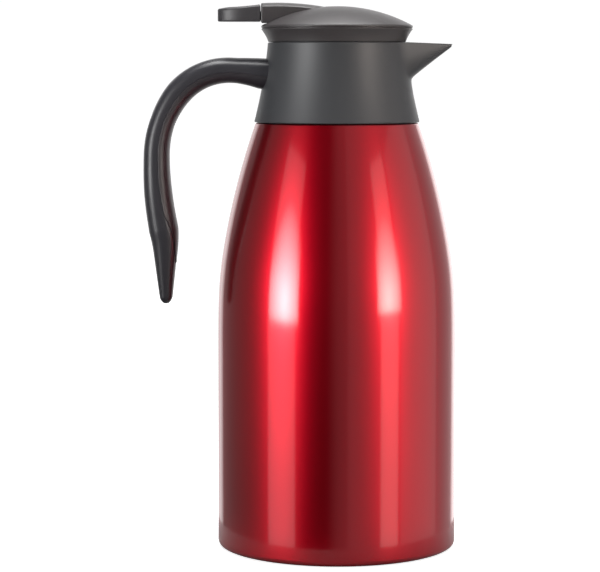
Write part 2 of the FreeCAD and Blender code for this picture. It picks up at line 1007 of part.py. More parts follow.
def make_stopper():
    """The cup that screws into the collar, with its pour windows, and the lip seal round it."""
    edge = size.cup_edge_round
    blank = turned(
        "cup_blank",
        [
            (size.seat_radius, size.cup_bottom),
            (size.cup_wall_radius - edge, size.cup_bottom),
            (size.cup_wall_radius, size.cup_bottom + edge, edge, 1),
            (size.cup_wall_radius, size.groove_bottom),
            (size.groove_radius, size.groove_bottom),
            (size.groove_radius, size.groove_top),
            (size.cup_flange_radius, size.groove_top),
            (size.cup_flange_radius, size.thread_core_bottom),
            (size.male_root, size.thread_core_bottom),
            (size.male_root, size.thread_core_top),
            (size.cup_neck_radius, size.thread_core_top),
            (size.cup_neck_radius, size.cup_top),
            (size.cup_bore, size.cup_top),
            (size.cup_bore, size.cup_floor),
            (size.seat_radius, size.cup_floor),
        ],
    )
    male = thread_ribs(
        "male_ribs", size.male_root, size.male_crest, size.female_thread_z - size.thread_play
    )
    window = box(
        "cup_window",
        (size.cup_bore - 6, -size.window_width / 2, size.window_bottom),
        (12, size.window_width, size.window_height),
    )
    windows = turned_copies("cup_windows", window, 3)
    boss_height = size.cup_top - size.boss_bottom
    boss = rod("cup_boss", size.boss_radius, size.boss_bottom, boss_height, x=size.boss_circle)
    bore = rod("cup_boss_bore", size.boss_bore, size.boss_bottom - 1, boss_height + 2, x=size.boss_circle)
    bosses = turned_copies("cup_bosses", boss, 3, 60)
    bores = turned_copies("cup_boss_bores", bore, 3, 60)
    open_cup = cut("cup_open", blank, windows)
    node("stopper_cup", cut("stopper_cup", joined("cup_full", open_cup, male, bosses), bores))

    clear = 0.08
    node(
        "mouth_gasket",
        turned(
            "mouth_gasket",
            [
                (size.groove_radius + clear, size.groove_bottom + clear),
                (size.cup_wall_radius + 0.4, size.groove_bottom + clear),
                (size.lip_seal_radius, size.groove_bottom + 1.6),
                (size.lip_seal_radius, size.groove_bottom + 2.4),
                (size.cup_wall_radius + 0.2, size.groove_bottom + 2.9),
                (size.lip_seal_radius, size.groove_top - 2),
                (size.lip_seal_radius, size.groove_top - 1.2),
                (size.cup_wall_radius, size.groove_top - clear),
                (size.groove_radius + clear, size.groove_top - clear),
            ],
        ),
    )


def make_deck():
    """The plate on the cup: its guide for the stem, the ears for the pin, its seal and its screws."""
    plate = turned(
        "deck_plate",
        [
            (size.gland_radius, size.cup_top),
            (size.deck_radius, size.cup_top),
            (size.deck_radius, size.deck_top),
            (size.deck_snap_radius, size.deck_top + 0.5),
            (size.deck_snap_radius, size.deck_snap_top),
            (size.deck_rim_inner, size.deck_snap_top),
            (size.deck_rim_inner, size.deck_top),
            (size.guide_boss_radius, size.deck_top),
            (size.guide_boss_radius, size.guide_boss_top),
            (size.guide_bore, size.guide_boss_top),
            (size.guide_bore, size.gland_top),
            (size.gland_radius, size.gland_top),
        ],
    )
    ears = []
    for side in (-1, 1):
        lug = extruded(
            f"deck_ear_{side}",
            "XZ_Plane",
            [
                (size.ear_foot_right, size.deck_top - 0.5),
                (size.pivot_x + size.ear_round, size.pivot_z),
                (size.pivot_x, size.pivot_z + size.ear_round, size.ear_round, 1),
                (size.pivot_x - size.ear_round, size.pivot_z, size.ear_round, 1),
                (size.pivot_x - size.ear_round * 0.7, size.pivot_z - size.ear_round * 0.71),
                (size.ear_foot_left - 0.9, size.hood_floor),
                (size.ear_foot_left, size.deck_top + 4),
                (size.ear_foot_left, size.deck_top - 0.5),
            ],
            size.ear_width,
            side * (size.ear_inner + size.ear_width / 2),
        )
        ears.append(lug)
    pin_hole = cross_rod("deck_pin_hole", size.pin_radius + 0.01, size.pin_length + 1)
    hole = rod("deck_screw_hole", size.screw_hole, size.cup_top - 1, 6, x=size.boss_circle)
    holes = turned_copies("deck_screw_holes", hole, 3, 60)
    node("lid_deck", cut("lid_deck", joined("deck_full", plate, *ears), pin_hole, holes))

    node(
        "stem_gland",
        turned(
            "stem_gland",
            [
                (size.stem_radius + 0.08, size.cup_top),
                (size.gland_radius - 0.02, size.cup_top),
                (size.gland_radius - 0.02, size.gland_top),
                (size.stem_radius + 0.08, size.gland_top),
            ],
        ),
    )
    node(
        "spring_washer",
        turned(
            "spring_washer",
            [
                (size.stem_radius + 0.3, size.washer_bottom),
                (size.washer_radius, size.washer_bottom),
                (size.washer_radius, size.cup_top),
                (size.stem_radius + 0.3, size.cup_top),
            ],
        ),
    )
    screw = turned(
        "deck_screw",
        [
            (0, size.deck_top - size.deck_screw_length),
            (size.screw_radius, size.deck_top - size.deck_screw_length + 1.2),
            (size.screw_radius, size.deck_top),
            (size.screw_head_radius, size.deck_top),
            (size.screw_head_radius, size.deck_top + size.screw_head_height * 0.4),
            (
                size.screw_head_radius * 0.5,
                size.deck_top + size.screw_head_height,
                size.screw_head_radius,
                1,
            ),
            (0, size.deck_top + size.screw_head_height),
        ],
    )
    place(screw, x=size.boss_circle)
    node("deck_screws", turned_copies("deck_screws", screw, 3, 60))
    node("lever_pin", cross_rod("lever_pin", size.pin_radius, size.pin_length))


def cross_rod(name, radius, length):
    """A cylinder along Y, centred on the lever's pivot."""
    made = doc.addObject("Part::Cylinder", name)
    bind(made, "Radius", radius)
    bind(made, "Height", length)
    made.Placement = FreeCAD.Placement(
        FreeCAD.Vector(), FreeCAD.Rotation(FreeCAD.Vector(1, 0, 0), -90)
    )
    return place(made, size.pivot_x, -as_size(length) / 2, size.pivot_z)


def hood_bar(name, half_width, drop, start_x, end_x, floor):
    """A bar with a crowned back, bent to the hood's arc, from start_x to end_x above floor."""
    top = size.hood_top - drop
    crown = size.hood_crown_radius
    edge = top - (crown - root(crown * crown - half_width * half_width))
    body = new_body(name)
    sketch = draw(
        new_sketch(body, "YZ_Plane", name + "_outline"),
        [
            (-half_width, edge - 22),
            (half_width, edge - 22),
            (half_width, edge),
            (-half_width, edge, crown, 1),
        ],
    )
    sketch.setExpression("AttachmentOffset.Base.z", size.hood_centre_x.text)
    axis_height = (size.hood_top - size.hood_arc_radius).value
    axis = sketch.addGeometry(
        Part.LineSegment(FreeCAD.Vector(-5, axis_height, 0), FreeCAD.Vector(5, axis_height, 0)), True
    )
    sketch.addConstraint(Sketcher.Constraint("Horizontal", axis))
    made = sketch.addConstraint(Sketcher.Constraint("DistanceY", -1, 1, axis, 1, axis_height))
    sketch.setExpression(f"Constraints[{made}]", (size.hood_top - size.hood_arc_radius).text)
    revolution = body.newObject("PartDesign::Revolution", name + "_turn")
    revolution.Profile = (sketch, [""])
    revolution.ReferenceAxis = (sketch, ["Axis0"])
    revolution.Angle = 40
    revolution.Midplane = True
    keep = box(
        name + "_length",
        (start_x, -half_width - 1, floor),
        (end_x - start_x, half_width * 2 + 2, 30),
    )
    return common(name + "_bar", body, keep)


def ball(name, radius):
    """A ball about the dome's centre, with its poles on the Y axis, well away from the dome."""
    made = doc.addObject("Part::Sphere", name)
    bind(made, "Radius", radius)
    made.Placement = FreeCAD.Placement(
        FreeCAD.Vector(), FreeCAD.Rotation(FreeCAD.Vector(1, 0, 0), 90)
    )
    return place(made, z=size.dome_top - size.dome_radius)


def make_cover():
    """The moulded cover: skirt, rim, dome and the hood that the thumb lever comes out of."""
    column = turned(
        "cover_column",
        [
            (0, size.skirt_bottom),
            (size.skirt_bottom_radius, size.skirt_bottom),
            (size.skirt_top_radius, size.skirt_top, size.skirt_flare_radius, -1),
            (size.rim_top_radius, size.rim_top, size.rim_radius, 1),
            (size.rim_top_radius, size.dome_top + 2),
            (0, size.dome_top + 2),
        ],
    )
    hollow = turned(
        "cover_hollow",
        [
            (0, size.skirt_bottom - 1),
            (size.skirt_inner_radius, size.skirt_bottom - 1),
            (size.skirt_inner_radius, size.skirt_bottom),
            (size.cover_inner_top_radius, size.cover_inner_top),
            (size.cover_inner_top_radius, size.dome_top),
            (0, size.dome_top),
        ],
    )
    outside = common("dome_outside", column, ball("dome_ball", size.dome_radius))
    under = common(
        "under_dome", hollow, ball("under_dome_ball", size.dome_radius - size.cover_wall)
    )
    hood = hood_bar(
        "hood_outside",
        size.hood_half_width,
        0,
        size.hood_mouth_x,
        size.hood_inner_end_x,
        size.hood_outer_bottom,
    )
    inside = hood_bar(
        "hood_inside",
        size.hood_half_width - size.hood_wall,
        size.hood_wall,
        size.hood_mouth_x - 3,
        size.hood_inner_end_x - 4,
        size.hood_floor,
    )
    node("lid_cover", cut("lid_cover", joined("cover_full", outside, hood), under, inside))


def make_lever():
    """The thumb lever: a dished tab outside the hood and a forked arm inside the lid."""
    flank_x = size.tab_tip_x + size.tab_nose_length
    nose_half = size.tab_half_width * 0.42
    plan = extruded(
        "tab_plan",
        "XY_Plane",
        [
            (size.tab_shoulder_x, size.tab_half_width),
            (flank_x, size.tab_half_width),
            (size.tab_tip_x + 2.2, nose_half + 1.6, size.tab_nose_length * 1.22, 1),
            (size.tab_tip_x, 0, 7.5, 1),
            (size.tab_tip_x + 2.2, -nose_half - 1.6, 7.5, 1),
            (flank_x, -size.tab_half_width, size.tab_nose_length * 1.22, 1),
            (size.tab_shoulder_x, -size.tab_half_width),
        ],
        40,
        size.tab_bottom + 20,
    )
    profile = extruded(
        "tab_profile",
        "XZ_Plane",
        [
            (size.tab_tip_x - 2, size.tab_bottom),
            (size.tab_shoulder_x, size.tab_bottom),
            (size.tab_shoulder_x, arc_height(size.tab_shoulder_x)),
            (size.tab_tip_x - 2, arc_height(size.tab_tip_x - 2), size.hood_arc_radius, 1),
        ],
        30,
    )
    tab = common("tab_blank", plan, profile)
    dish = doc.addObject("Part::Sphere", "tab_dish")
    bind(dish, "Radius", size.dish_radius)
    place(
        dish,
        size.dish_centre_x,
        0,
        arc_height(size.dish_centre_x) - size.dish_depth + size.dish_radius,
    )
    dished = cut("tab_dished", tab, dish)
    nose_centre_z = size.nose_top - size.nose_radius
    reach_z = nose_centre_z + root(
        size.nose_radius * size.nose_radius - size.nose_reach * size.nose_reach
    )
    back_z = nose_centre_z + root(
        size.nose_radius * size.nose_radius - size.nose_back * size.nose_back
    )
    arm = extruded(
        "arm_profile",
        "XZ_Plane",
        [
            (size.tab_shoulder_x - 1, size.arm_root_bottom),
            (size.arm_knee_x, size.arm_knee_bottom),
            (size.nose_back, back_z - size.nose_thickness),
            (size.nose_reach, back_z - size.nose_thickness),
            (size.nose_reach, reach_z),
            (size.nose_back, back_z, size.nose_radius, 1),
            (size.arm_knee_x, size.arm_knee_top),
            (size.pivot_x, size.arm_root_top),
            (size.tab_shoulder_x - 1, size.arm_root_top),
        ],
        size.arm_half_width * 2,
    )
    slot = box(
        "fork_slot",
        (size.nose_back - 1, -size.fork_half_gap, size.nose_top - 12),
        (size.nose_reach - size.nose_back + 3, size.fork_half_gap * 2, 20),
    )
    slot_end = rod(
        "fork_slot_end",
        size.fork_half_gap,
        size.nose_top - 12,
        20,
        x=size.nose_back - 1,
    )
    bore = cross_rod("lever_bore", size.pin_radius + size.pin_clearance, 30)
    node(
        "thumb_lever",
        cut("thumb_lever", joined("lever_full", dished, arm), slot, slot_end, bore),
    )


def arc_height(x):
    """Height of the hood's and tab's top line at x."""
    x = as_size(x)
    offset = x - size.hood_centre_x
    radius = size.hood_arc_radius
    return size.hood_top - radius + root(radius * radius - offset * offset)


def make_valve():
    """The stem with its foot, hub and spring seat, the silicone seal, the cap and the spring."""
    node(
        "valve_stem",
        turned(
            "valve_stem",
            [
                (0, size.foot_bottom),
                (size.foot_radius - 1, size.foot_bottom),
                (size.foot_radius, size.cup_floor - 0.05),
                (size.stem_radius, size.cup_floor - 0.05),
                (size.stem_radius, size.seal_top),
                (size.hub_radius, size.seal_top),
                (size.hub_radius - 1, size.hub_top),
                (size.stem_radius, size.hub_top),
                (size.stem_radius, size.spring_seat_bottom),
                (size.spring_seat_radius, size.spring_seat_bottom),
                (size.spring_seat_radius, size.spring_seat_top),
                (size.stem_radius, size.spring_seat_top),
                (size.stem_radius, size.stem_top),
                (size.tip_radius, size.stem_top),
                (size.tip_radius, size.tip_top),
                (0, size.tip_top),
            ],
        ),
    )
    node(
        "valve_seal",
        turned(
            "valve_seal",
            [
                (size.stem_radius + 0.02, size.cup_floor),
                (size.seal_radius, size.cup_floor),
                (size.seal_radius, size.cup_floor + 1.2),
                (size.hub_radius, size.seal_top),
                (size.stem_radius + 0.02, size.seal_top),
            ],
        ),
    )
    cap_bore = size.tip_radius + 0.02
    node(
        "stem_cap",
        turned(
            "stem_cap",
            [
                (cap_bore, size.stem_top),
                (size.cap_radius, size.stem_top),
                (size.cap_radius, size.cap_top - 0.8),
                (size.cap_radius - 0.8, size.cap_top, 0.8, 1),
                (0, size.cap_top),
                (0, size.tip_top + 0.05),
                (cap_bore, size.tip_top + 0.05),
            ],
        ),
    )
    bottom = size.spring_seat_top + size.spring_wire + 0.05
    top = size.washer_bottom - size.spring_wire - 0.05
    helix = doc.addObject("Part::Helix", "spring_line")
    bind(helix, "Pitch", (top - bottom) / size.spring_turns)
    bind(helix, "Height", top - bottom)
    bind(helix, "Radius", size.spring_radius)
    bind(helix, "Placement.Base.z", bottom)
    section = doc.addObject("Part::Circle", "spring_section")
    bind(section, "Radius", size.spring_wire)
    section.Placement.Rotation = FreeCAD.Rotation(FreeCAD.Vector(1, 0, 0), 90)
    place(section, x=size.spring_radius, z=bottom)
    coil = doc.addObject("Part::Sweep", "valve_spring")
    coil.Sections = [section]
    coil.Spine = (helix, [])
    coil.Solid = True
    coil.Frenet = True
    node("valve_spring", coil)


def check_and_export(folder):
    """Stops if any object failed or any piece is empty or invalid, then writes each piece's STEP."""
    doc.recompute()
    failed = [o.Name for o in doc.Objects if {"Invalid", "Error"} & set(o.State)]
    if failed:
        raise SystemExit(f"objects that failed: {failed}")
    os.makedirs(folder, exist_ok=True)
    for label, thing in nodes.items():
        shape = thing.Shape
        if shape.isNull() or not shape.isValid() or not shape.Solids:
            raise SystemExit(f"{label} has no valid solid")
        shape.exportStep(os.path.join(folder, label + ".step"))
        volume = sum(solid.Volume for solid in shape.Solids)
        print(f"{label}: {len(shape.Solids)} solid(s), {volume / 1000:.3f} cm3")


make_bottle()
collar_outside = make_collar()
doc.recompute()
make_handle(collar_outside)
make_stopper()
make_deck()
make_cover()
make_lever()
make_valve()
check_and_export("parts")
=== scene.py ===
"""Looks for a vacuum coffee carafe with a screw-in lever lid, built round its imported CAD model.

Sizes in the dataclasses are millimetres in the row frame: +Z up the bottle's axis, +X to the spout.
Meshes are written in metres at the origin, as the CAD nodes are.
"""

import logging
import math
from collections.abc import Callable, Sequence
from dataclasses import dataclass, field
from enum import Enum

import bmesh
import bpy
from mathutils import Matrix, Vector


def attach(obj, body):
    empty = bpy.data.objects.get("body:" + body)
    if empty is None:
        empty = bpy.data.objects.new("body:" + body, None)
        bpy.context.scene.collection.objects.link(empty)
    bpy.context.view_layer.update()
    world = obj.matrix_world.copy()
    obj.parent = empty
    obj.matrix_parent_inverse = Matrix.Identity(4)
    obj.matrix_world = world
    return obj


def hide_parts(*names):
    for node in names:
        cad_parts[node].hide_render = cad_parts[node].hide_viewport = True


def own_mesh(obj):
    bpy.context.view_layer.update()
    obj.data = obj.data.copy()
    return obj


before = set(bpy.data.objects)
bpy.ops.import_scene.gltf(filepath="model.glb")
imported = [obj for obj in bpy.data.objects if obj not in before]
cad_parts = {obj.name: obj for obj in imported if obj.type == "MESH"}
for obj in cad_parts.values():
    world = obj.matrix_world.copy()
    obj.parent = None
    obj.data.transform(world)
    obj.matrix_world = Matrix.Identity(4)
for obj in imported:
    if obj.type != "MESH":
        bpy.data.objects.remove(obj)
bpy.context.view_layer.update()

MM = 0.001
LOG = logging.getLogger("carafe")
Colour = tuple[float, float, float]
Point2 = tuple[float, float]
Point3 = tuple[float, float, float]
Height = Callable[[float, float], float]


class Body(Enum):
    """The rigid bodies that a piece can ride on."""

    CARAFE = "carafe"
    SEAL = "mouth_seal"
    LID = "lid"
    LEVER = "lever"
    VALVE = "valve"


# ------------------------------------------------------------------ node trees as expressions


class Signal:
    """A node's output socket whose arithmetic adds Math nodes to its tree."""

    def __init__(self, builder: "TreeBuilder", socket: bpy.types.NodeSocket) -> None:
        """Wraps one output socket of the builder's tree."""
        self.builder = builder
        self.socket = socket

    def math(self, operation: str, *values: object) -> "Signal":
        """A Math node on these values, in the order that the operation takes them."""
        return self.builder.take("ShaderNodeMath", dict(enumerate(values)), operation=operation)

    def __add__(self, other: object) -> "Signal":
        """self + other."""
        return self.math("ADD", self, other)

    def __radd__(self, other: object) -> "Signal":
        """other + self."""
        return self.math("ADD", other, self)

    def __sub__(self, other: object) -> "Signal":
        """self - other."""
        return self.math("SUBTRACT", self, other)

    def __rsub__(self, other: object) -> "Signal":
        """other - self."""
        return self.math("SUBTRACT", other, self)

    def __mul__(self, other: object) -> "Signal":
        """self * other."""
        return self.math("MULTIPLY", self, other)

    def __rmul__(self, other: object) -> "Signal":
        """other * self."""
        return self.math("MULTIPLY", other, self)

    def __truediv__(self, other: object) -> "Signal":
        """self / other."""
        return self.math("DIVIDE", self, other)

    def __mod__(self, other: object) -> "Signal":
        """self modulo other."""
        return self.math("MODULO", self, other)

    def floor(self) -> "Signal":
        """The whole number below."""
        return self.math("FLOOR", self)

    def cos(self) -> "Signal":
        """Cosine of an angle in radians."""
        return self.math("COSINE", self)

    def sin(self) -> "Signal":
        """Sine of an angle in radians."""
        return self.math("SINE", self)


def shade(colour: Colour, factor: float) -> Colour:
    """A colour made darker or lighter by a factor."""
    return tuple(part * factor for part in colour)


class TreeBuilder:
    """Adds nodes to one node tree."""

    def __init__(self, tree: bpy.types.NodeTree) -> None:
        """Starts on an empty tree."""
        self.tree = tree
        tree.nodes.clear()

    def node(self, kind: str, values: dict | None = None, **settings: object) -> bpy.types.Node:
        """Adds one node.

        Args:
            kind: the node's type name.
            values: input socket, by name or number, to a value or a Signal.
            settings: properties that are set before the sockets, such as an operation.

        Returns:
            The new node.
        """
        made = self.tree.nodes.new(kind)
        for name, setting in settings.items():
            setattr(made, name, setting)
        for key, value in (values or {}).items():
            self.feed(made.inputs[key], value)
        return made

    def take(
        self, kind: str, values: dict | None = None, output: str | int = 0, **settings: object
    ) -> Signal:
        """Adds one node and gives one of its outputs, ready for arithmetic."""
        return Signal(self, self.node(kind, values, **settings).outputs[output])

    def feed(self, socket: bpy.types.NodeSocket, value: object) -> None:
        """Links a Signal to an input, or sets the input's own value."""
        if isinstance(value, Signal):
            self.tree.links.new(value.socket, socket)
        else:
            socket.default_value = value

    def vector(self, x: object, y: object, z: object) -> Signal:
        """A vector from three numbers or signals."""
        return self.take("ShaderNodeCombineXYZ", {0: x, 1: y, 2: z})

    def step(self, value: Signal, low: float, high: float) -> Signal:
        """A smooth rise from 0 at low to 1 at high."""
        values = {"Value": value, "From Min": low, "From Max": high}
        return self.take("ShaderNodeMapRange", values, interpolation_type="SMOOTHSTEP")

    def parts(self, vector: Signal) -> list[Signal]:
        """The three components of a vector."""
        made = self.node("ShaderNodeSeparateXYZ", {0: vector})
        return [Signal(self, output) for output in made.outputs]


class MaterialBuilder(TreeBuilder):
    """Builds one finish's material round a Principled shader."""

    def __init__(self, name: str) -> None:
        """Makes an empty material of that name."""
        self.material = bpy.data.materials.new(name)
        self.material.use_nodes = True
        super().__init__(self.material.node_tree)
        self.place = self.take("ShaderNodeTexCoord", output="Object")

    def stretched(self, stretch: Point3) -> Signal:
        """Object coordinates scaled along each axis."""
        return self.take("ShaderNodeVectorMath", {0: self.place, 1: stretch}, operation="MULTIPLY")

    def noise(self, size: float, detail: float = 2.0, stretch: Point3 = (1, 1, 1)) -> Signal:
        """Noise from 0 to 1 whose blotches are about size millimetres across."""
        values = {"Vector": self.stretched(stretch), "Scale": 1 / (size * MM), "Detail": detail}
        return self.take("ShaderNodeTexNoise", values, "Fac")

    def tint(self, mask: object, first: Colour | Signal, second: Colour | Signal) -> Signal:
        """A colour that runs from first to second as mask goes from 0 to 1."""
        made = self.node("ShaderNodeMix", {0: mask}, data_type="RGBA")
        for index, colour in ((6, first), (7, second)):
            self.feed(made.inputs[index], colour if isinstance(colour, Signal) else (*colour, 1.0))
        return Signal(self, made.outputs[2])

    def bump(self, height: Signal, depth: float) -> Signal:
        """Surface relief of that depth in millimetres."""
        values = {"Height": height, "Distance": depth * MM, "Strength": 1.0}
        return self.take("ShaderNodeBump", values)

    def finish(self, values: dict[str, object]) -> bpy.types.Material:
        """Adds the Principled shader and the output.

        Args:
            values: the shader's socket names and what each one takes.

        Returns:
            The finished material.
        """
        shader = self.take("ShaderNodeBsdfPrincipled", values)
        self.node("ShaderNodeOutputMaterial", {"Surface": shader})
        return self.material


# ------------------------------------------------------------------ finishes


@dataclass(frozen=True)
class Finish:
    """A finish: its material's name and the record's material slot."""

    name: str
    slot: str

    def look(self, maker: MaterialBuilder) -> dict[str, object]:
        """What each socket of the shader takes."""
        raise NotImplementedError

    def build(self) -> bpy.types.Material:
        """Makes the material."""
        maker = MaterialBuilder(self.name)
        return maker.finish(self.look(maker))


@dataclass(frozen=True)
class CandyLacquer(Finish):
    """Transparent red lacquer over polished steel, under a clear coat."""

    name: str = "candy_red_lacquer"
    slot: str = "red_lacquer"
    deep: Colour = (0.36, 0.0, 0.008)
    bright: Colour = (0.52, 0.004, 0.016)
    coat_ripple: float = 0.006

    def look(self, maker: MaterialBuilder) -> dict[str, object]:
        """What each socket of the shader takes."""
        cloud = maker.noise(38, 2, (1, 1, 0.35))
        flake = maker.noise(0.35, 1)
        _, _, height = maker.parts(maker.place)
        foot = 1 - maker.step(height, 0.2 * MM, 2.2 * MM)
        lacquer = maker.tint(cloud * 0.7 + flake * 0.3, self.deep, self.bright)
        return {
            "Base Color": maker.tint(foot * 0.45, lacquer, (0.12, 0.01, 0.012)),
            "Metallic": 1.0,
            "Roughness": 0.33 + flake * 0.06 + foot * 0.12,
            "Coat Weight": 1.0 - foot * 0.5,
            "Coat Roughness": 0.1,
            "Coat IOR": 1.55,
            "Normal": maker.bump(maker.noise(7, 1), self.coat_ripple),
        }


@dataclass(frozen=True)
class MouldedPlastic(Finish):
    """Satin plastic from a finely spark-eroded mould."""

    colour: Colour
    roughness: float = 0.42
    grain: float = 0.35
    depth: float = 0.01
    specular: float = 0.5

    def look(self, maker: MaterialBuilder) -> dict[str, object]:
        """What each socket of the shader takes."""
        flow = maker.noise(24, 2, (1, 1, 0.5))
        grain = maker.noise(self.grain, 2)
        rub = maker.step(maker.noise(6, 3), 0.52, 0.75)
        darker, lighter = shade(self.colour, 0.88), shade(self.colour, 1.14)
        return {
            "Base Color": maker.tint(flow * 0.7 + grain * 0.3, darker, lighter),
            "Roughness": self.roughness - 0.05 * rub + 0.06 * grain,
            "Specular IOR Level": self.specular,
            "Normal": maker.bump(grain, self.depth),
        }


@dataclass(frozen=True)
class BrushedSteel(Finish):
    """Stainless steel with fine lines round the axis."""

    colour: Colour = (0.62, 0.61, 0.6)
    roughness: float = 0.3
    line: float = 0.12

    def look(self, maker: MaterialBuilder) -> dict[str, object]:
        """What each socket of the shader takes."""
        lines = maker.noise(self.line, 3, (0.03, 0.03, 1))
        stain = maker.noise(16, 3)
        dull = shade(self.colour, 0.82)
        return {
            "Base Color": maker.tint(stain * 0.5 + lines * 0.5, dull, self.colour),
            "Metallic": 1.0,
            "Roughness": self.roughness + 0.14 * lines + 0.05 * stain,
            "Normal": maker.bump(lines, 0.004),
        }


@dataclass(frozen=True)
class WrinkledFoil(Finish):
    """Bright aluminium foil, creased where it is wrapped."""

    name: str = "wrapped_foil"
    slot: str = "foil"

    def look(self, maker: MaterialBuilder) -> dict[str, object]:
        """What each socket of the shader takes."""
        crease = maker.noise(9, 5)
        return {
            "Base Color": maker.tint(crease, (0.7, 0.7, 0.71), (0.9, 0.9, 0.9)),
            "Metallic": 1.0,
            "Roughness": 0.18 + 0.2 * crease,
            "Normal": maker.bump(crease, 0.25),
        }


@dataclass(frozen=True)
class Silicone(Finish):
    """Milky silicone rubber with a dry, fine surface."""

    name: str = "milky_silicone"
    slot: str = "silicone"
    colour: Colour = (0.62, 0.61, 0.57)

    def look(self, maker: MaterialBuilder) -> dict[str, object]:
        """What each socket of the shader takes."""
        cloud = maker.noise(5, 3)
        dust = maker.noise(0.5, 2)
        return {
            "Base Color": maker.tint(cloud, shade(self.colour, 0.85), self.colour),
            "Roughness": 0.48 + 0.12 * dust,
            "Normal": maker.bump(dust, 0.012),
        }


@dataclass(frozen=True)
class Sintered(Finish):
    """A pressed metal powder or a fused bead: dull and pitted."""

    colour: Colour = (0.42, 0.41, 0.39)

    def look(self, maker: MaterialBuilder) -> dict[str, object]:
        """What each socket of the shader takes."""
        pits = maker.noise(0.6, 4)
        return {
            "Base Color": maker.tint(pits, shade(self.colour, 0.6), self.colour),
            "Metallic": 0.8,
            "Roughness": 0.5 + 0.25 * pits,
            "Normal": maker.bump(pits, 0.06),
        }


class Palette:
    """Every finish of the carafe, each built once when a piece first needs it."""

    def __init__(self) -> None:
        """Lists the finishes by a short name."""
        self.finishes = {
            "lacquer": CandyLacquer(),
            "collar": MouldedPlastic("collar_plastic", "charcoal_plastic", (0.032, 0.033, 0.036)),
            "handle": MouldedPlastic(
                "handle_plastic", "charcoal_plastic", (0.022, 0.021, 0.026), 0.36
            ),
            "grip": MouldedPlastic("grip_plastic", "grip_plastic", (0.018, 0.015, 0.019), 0.44),
            "lid": MouldedPlastic("lid_plastic", "lid_plastic", (0.036, 0.032, 0.033), 0.38),
            "lever": MouldedPlastic("lever_plastic", "charcoal_plastic", (0.03, 0.028, 0.031)),
            "inner_plastic": MouldedPlastic(
                "inner_plastic", "dark_plastic", (0.028, 0.028, 0.031), 0.5
            ),
            "steel": BrushedSteel("satin_steel", "steel"),
            "screw": BrushedSteel("screw_steel", "screw_steel", (0.56, 0.56, 0.58), 0.26, 0.08),
            "wire": BrushedSteel("spring_wire", "spring_steel", (0.5, 0.5, 0.52), 0.24, 0.05),
            "foil": WrinkledFoil(),
            "silicone": Silicone(),
            "bead": Sintered("fused_bead", "seal_metal", (0.4, 0.4, 0.42)),
            "getter": Sintered("getter_powder", "getter_metal"),
        }
        self.built: dict[str, bpy.types.Material] = {}

    def material(self, key: str) -> bpy.types.Material:
        """The material of a finish."""
        if key not in self.built:
            self.built[key] = self.finishes[key].build()
        return self.built[key]

    def slot(self, key: str) -> str:
        """The record's material slot of a finish."""
        return self.finishes[key].slot


# ------------------------------------------------------------------ meshes


def spaced(low: float, high: float, count: int) -> list[float]:
    """The places that divide low to high into count equal parts, ends included."""
    return [low + (high - low) * index / count for index in range(count + 1)]


def quarter(steps: int) -> list[Point2]:
    """(cosine, sine) over a right angle in equal steps, ends included."""
    return [(math.cos(turn), math.sin(turn)) for turn in spaced(0, math.pi / 2, steps)]


def circle(radius: float, count: int, x: float = 0.0, y: float = 0.0) -> list[Point2]:
    """The corners of a regular polygon on a circle round (x, y)."""
    turns = spaced(0, 2 * math.pi, count)[:-1]
    return [(x + radius * math.cos(turn), y + radius * math.sin(turn)) for turn in turns]


def squarish(turn: float, power: float) -> Point2:
    """A point of the superellipse of that power that just fits a square of side 2."""
    c, s = math.cos(turn), math.sin(turn)
    return math.copysign(abs(c) ** (2 / power), c), math.copysign(abs(s) ** (2 / power), s)


class Outline:
    """A closed outline traced in a plane, in millimetres: (radius, height) on a turned piece."""

    def __init__(self, x: float, y: float) -> None:
        """Starts at a corner."""
        self.points: list[Point2] = [(x, y)]

    def line(self, *corners: Point2) -> "Outline":
        """Straight on through the corners."""
        self.points.extend(corners)
        return self

    def arc(self, x: float, y: float, radius: float, turn: int, steps: int = 12) -> "Outline":
        """The minor arc to (x, y) that turns left (1) or right (-1)."""
        x0, y0 = self.points[-1]
        half = Vector(((x - x0) / 2, (y - y0) / 2))
        reach = math.sqrt(max(radius * radius - half.length_squared, 0.0))
        side = Vector((-half.y, half.x)).normalized() * reach * turn
        centre = Vector((x0, y0)) + half + side
        start = math.atan2(y0 - centre.y, x0 - centre.x)
        sweep = (math.atan2(y - centre.y, x - centre.x) - start) * turn % (2 * math.pi)
        for step in range(1, steps + 1):
            angle = start + turn * sweep * step / steps
            self.points.append(
                (centre.x + radius * math.cos(angle), centre.y + radius * math.sin(angle))
            )
        return self

    def softened(self, radius: float, steps: int = 3, least: float = 25.0) -> list[Point2]:
        """The outline with every corner sharper than least degrees rounded off."""
        count = len(self.points)
        result: list[Point2] = []
        for index, (x, y) in enumerate(self.points):
            here = Vector((x, y))
            before = Vector(self.points[index - 1]) - here
            after = Vector(self.points[(index + 1) % count]) - here
            on_axis = abs(x) < 1e-6
            if on_axis or before.length < 1e-6 or after.length < 1e-6:
                result.append((x, y))
                continue
            bend = math.pi - before.angle(after)
            if math.degrees(bend) < least:
                result.append((x, y))
                continue
            back = min(radius * math.tan(bend / 2), before.length * 0.45, after.length * 0.45)
            first, last = here + before.normalized() * back, here + after.normalized() * back
            for step in range(steps + 1):
                share = step / steps
                blend = first.lerp(here, share).lerp(here.lerp(last, share), share)
                result.append((blend.x, blend.y))
        return result


def object_from(name: str, data: bpy.types.ID) -> bpy.types.Object:
    """Links a new object that holds the mesh, lamp or camera."""
    made = bpy.data.objects.new(name, data)
    bpy.context.scene.collection.objects.link(made)
    return made


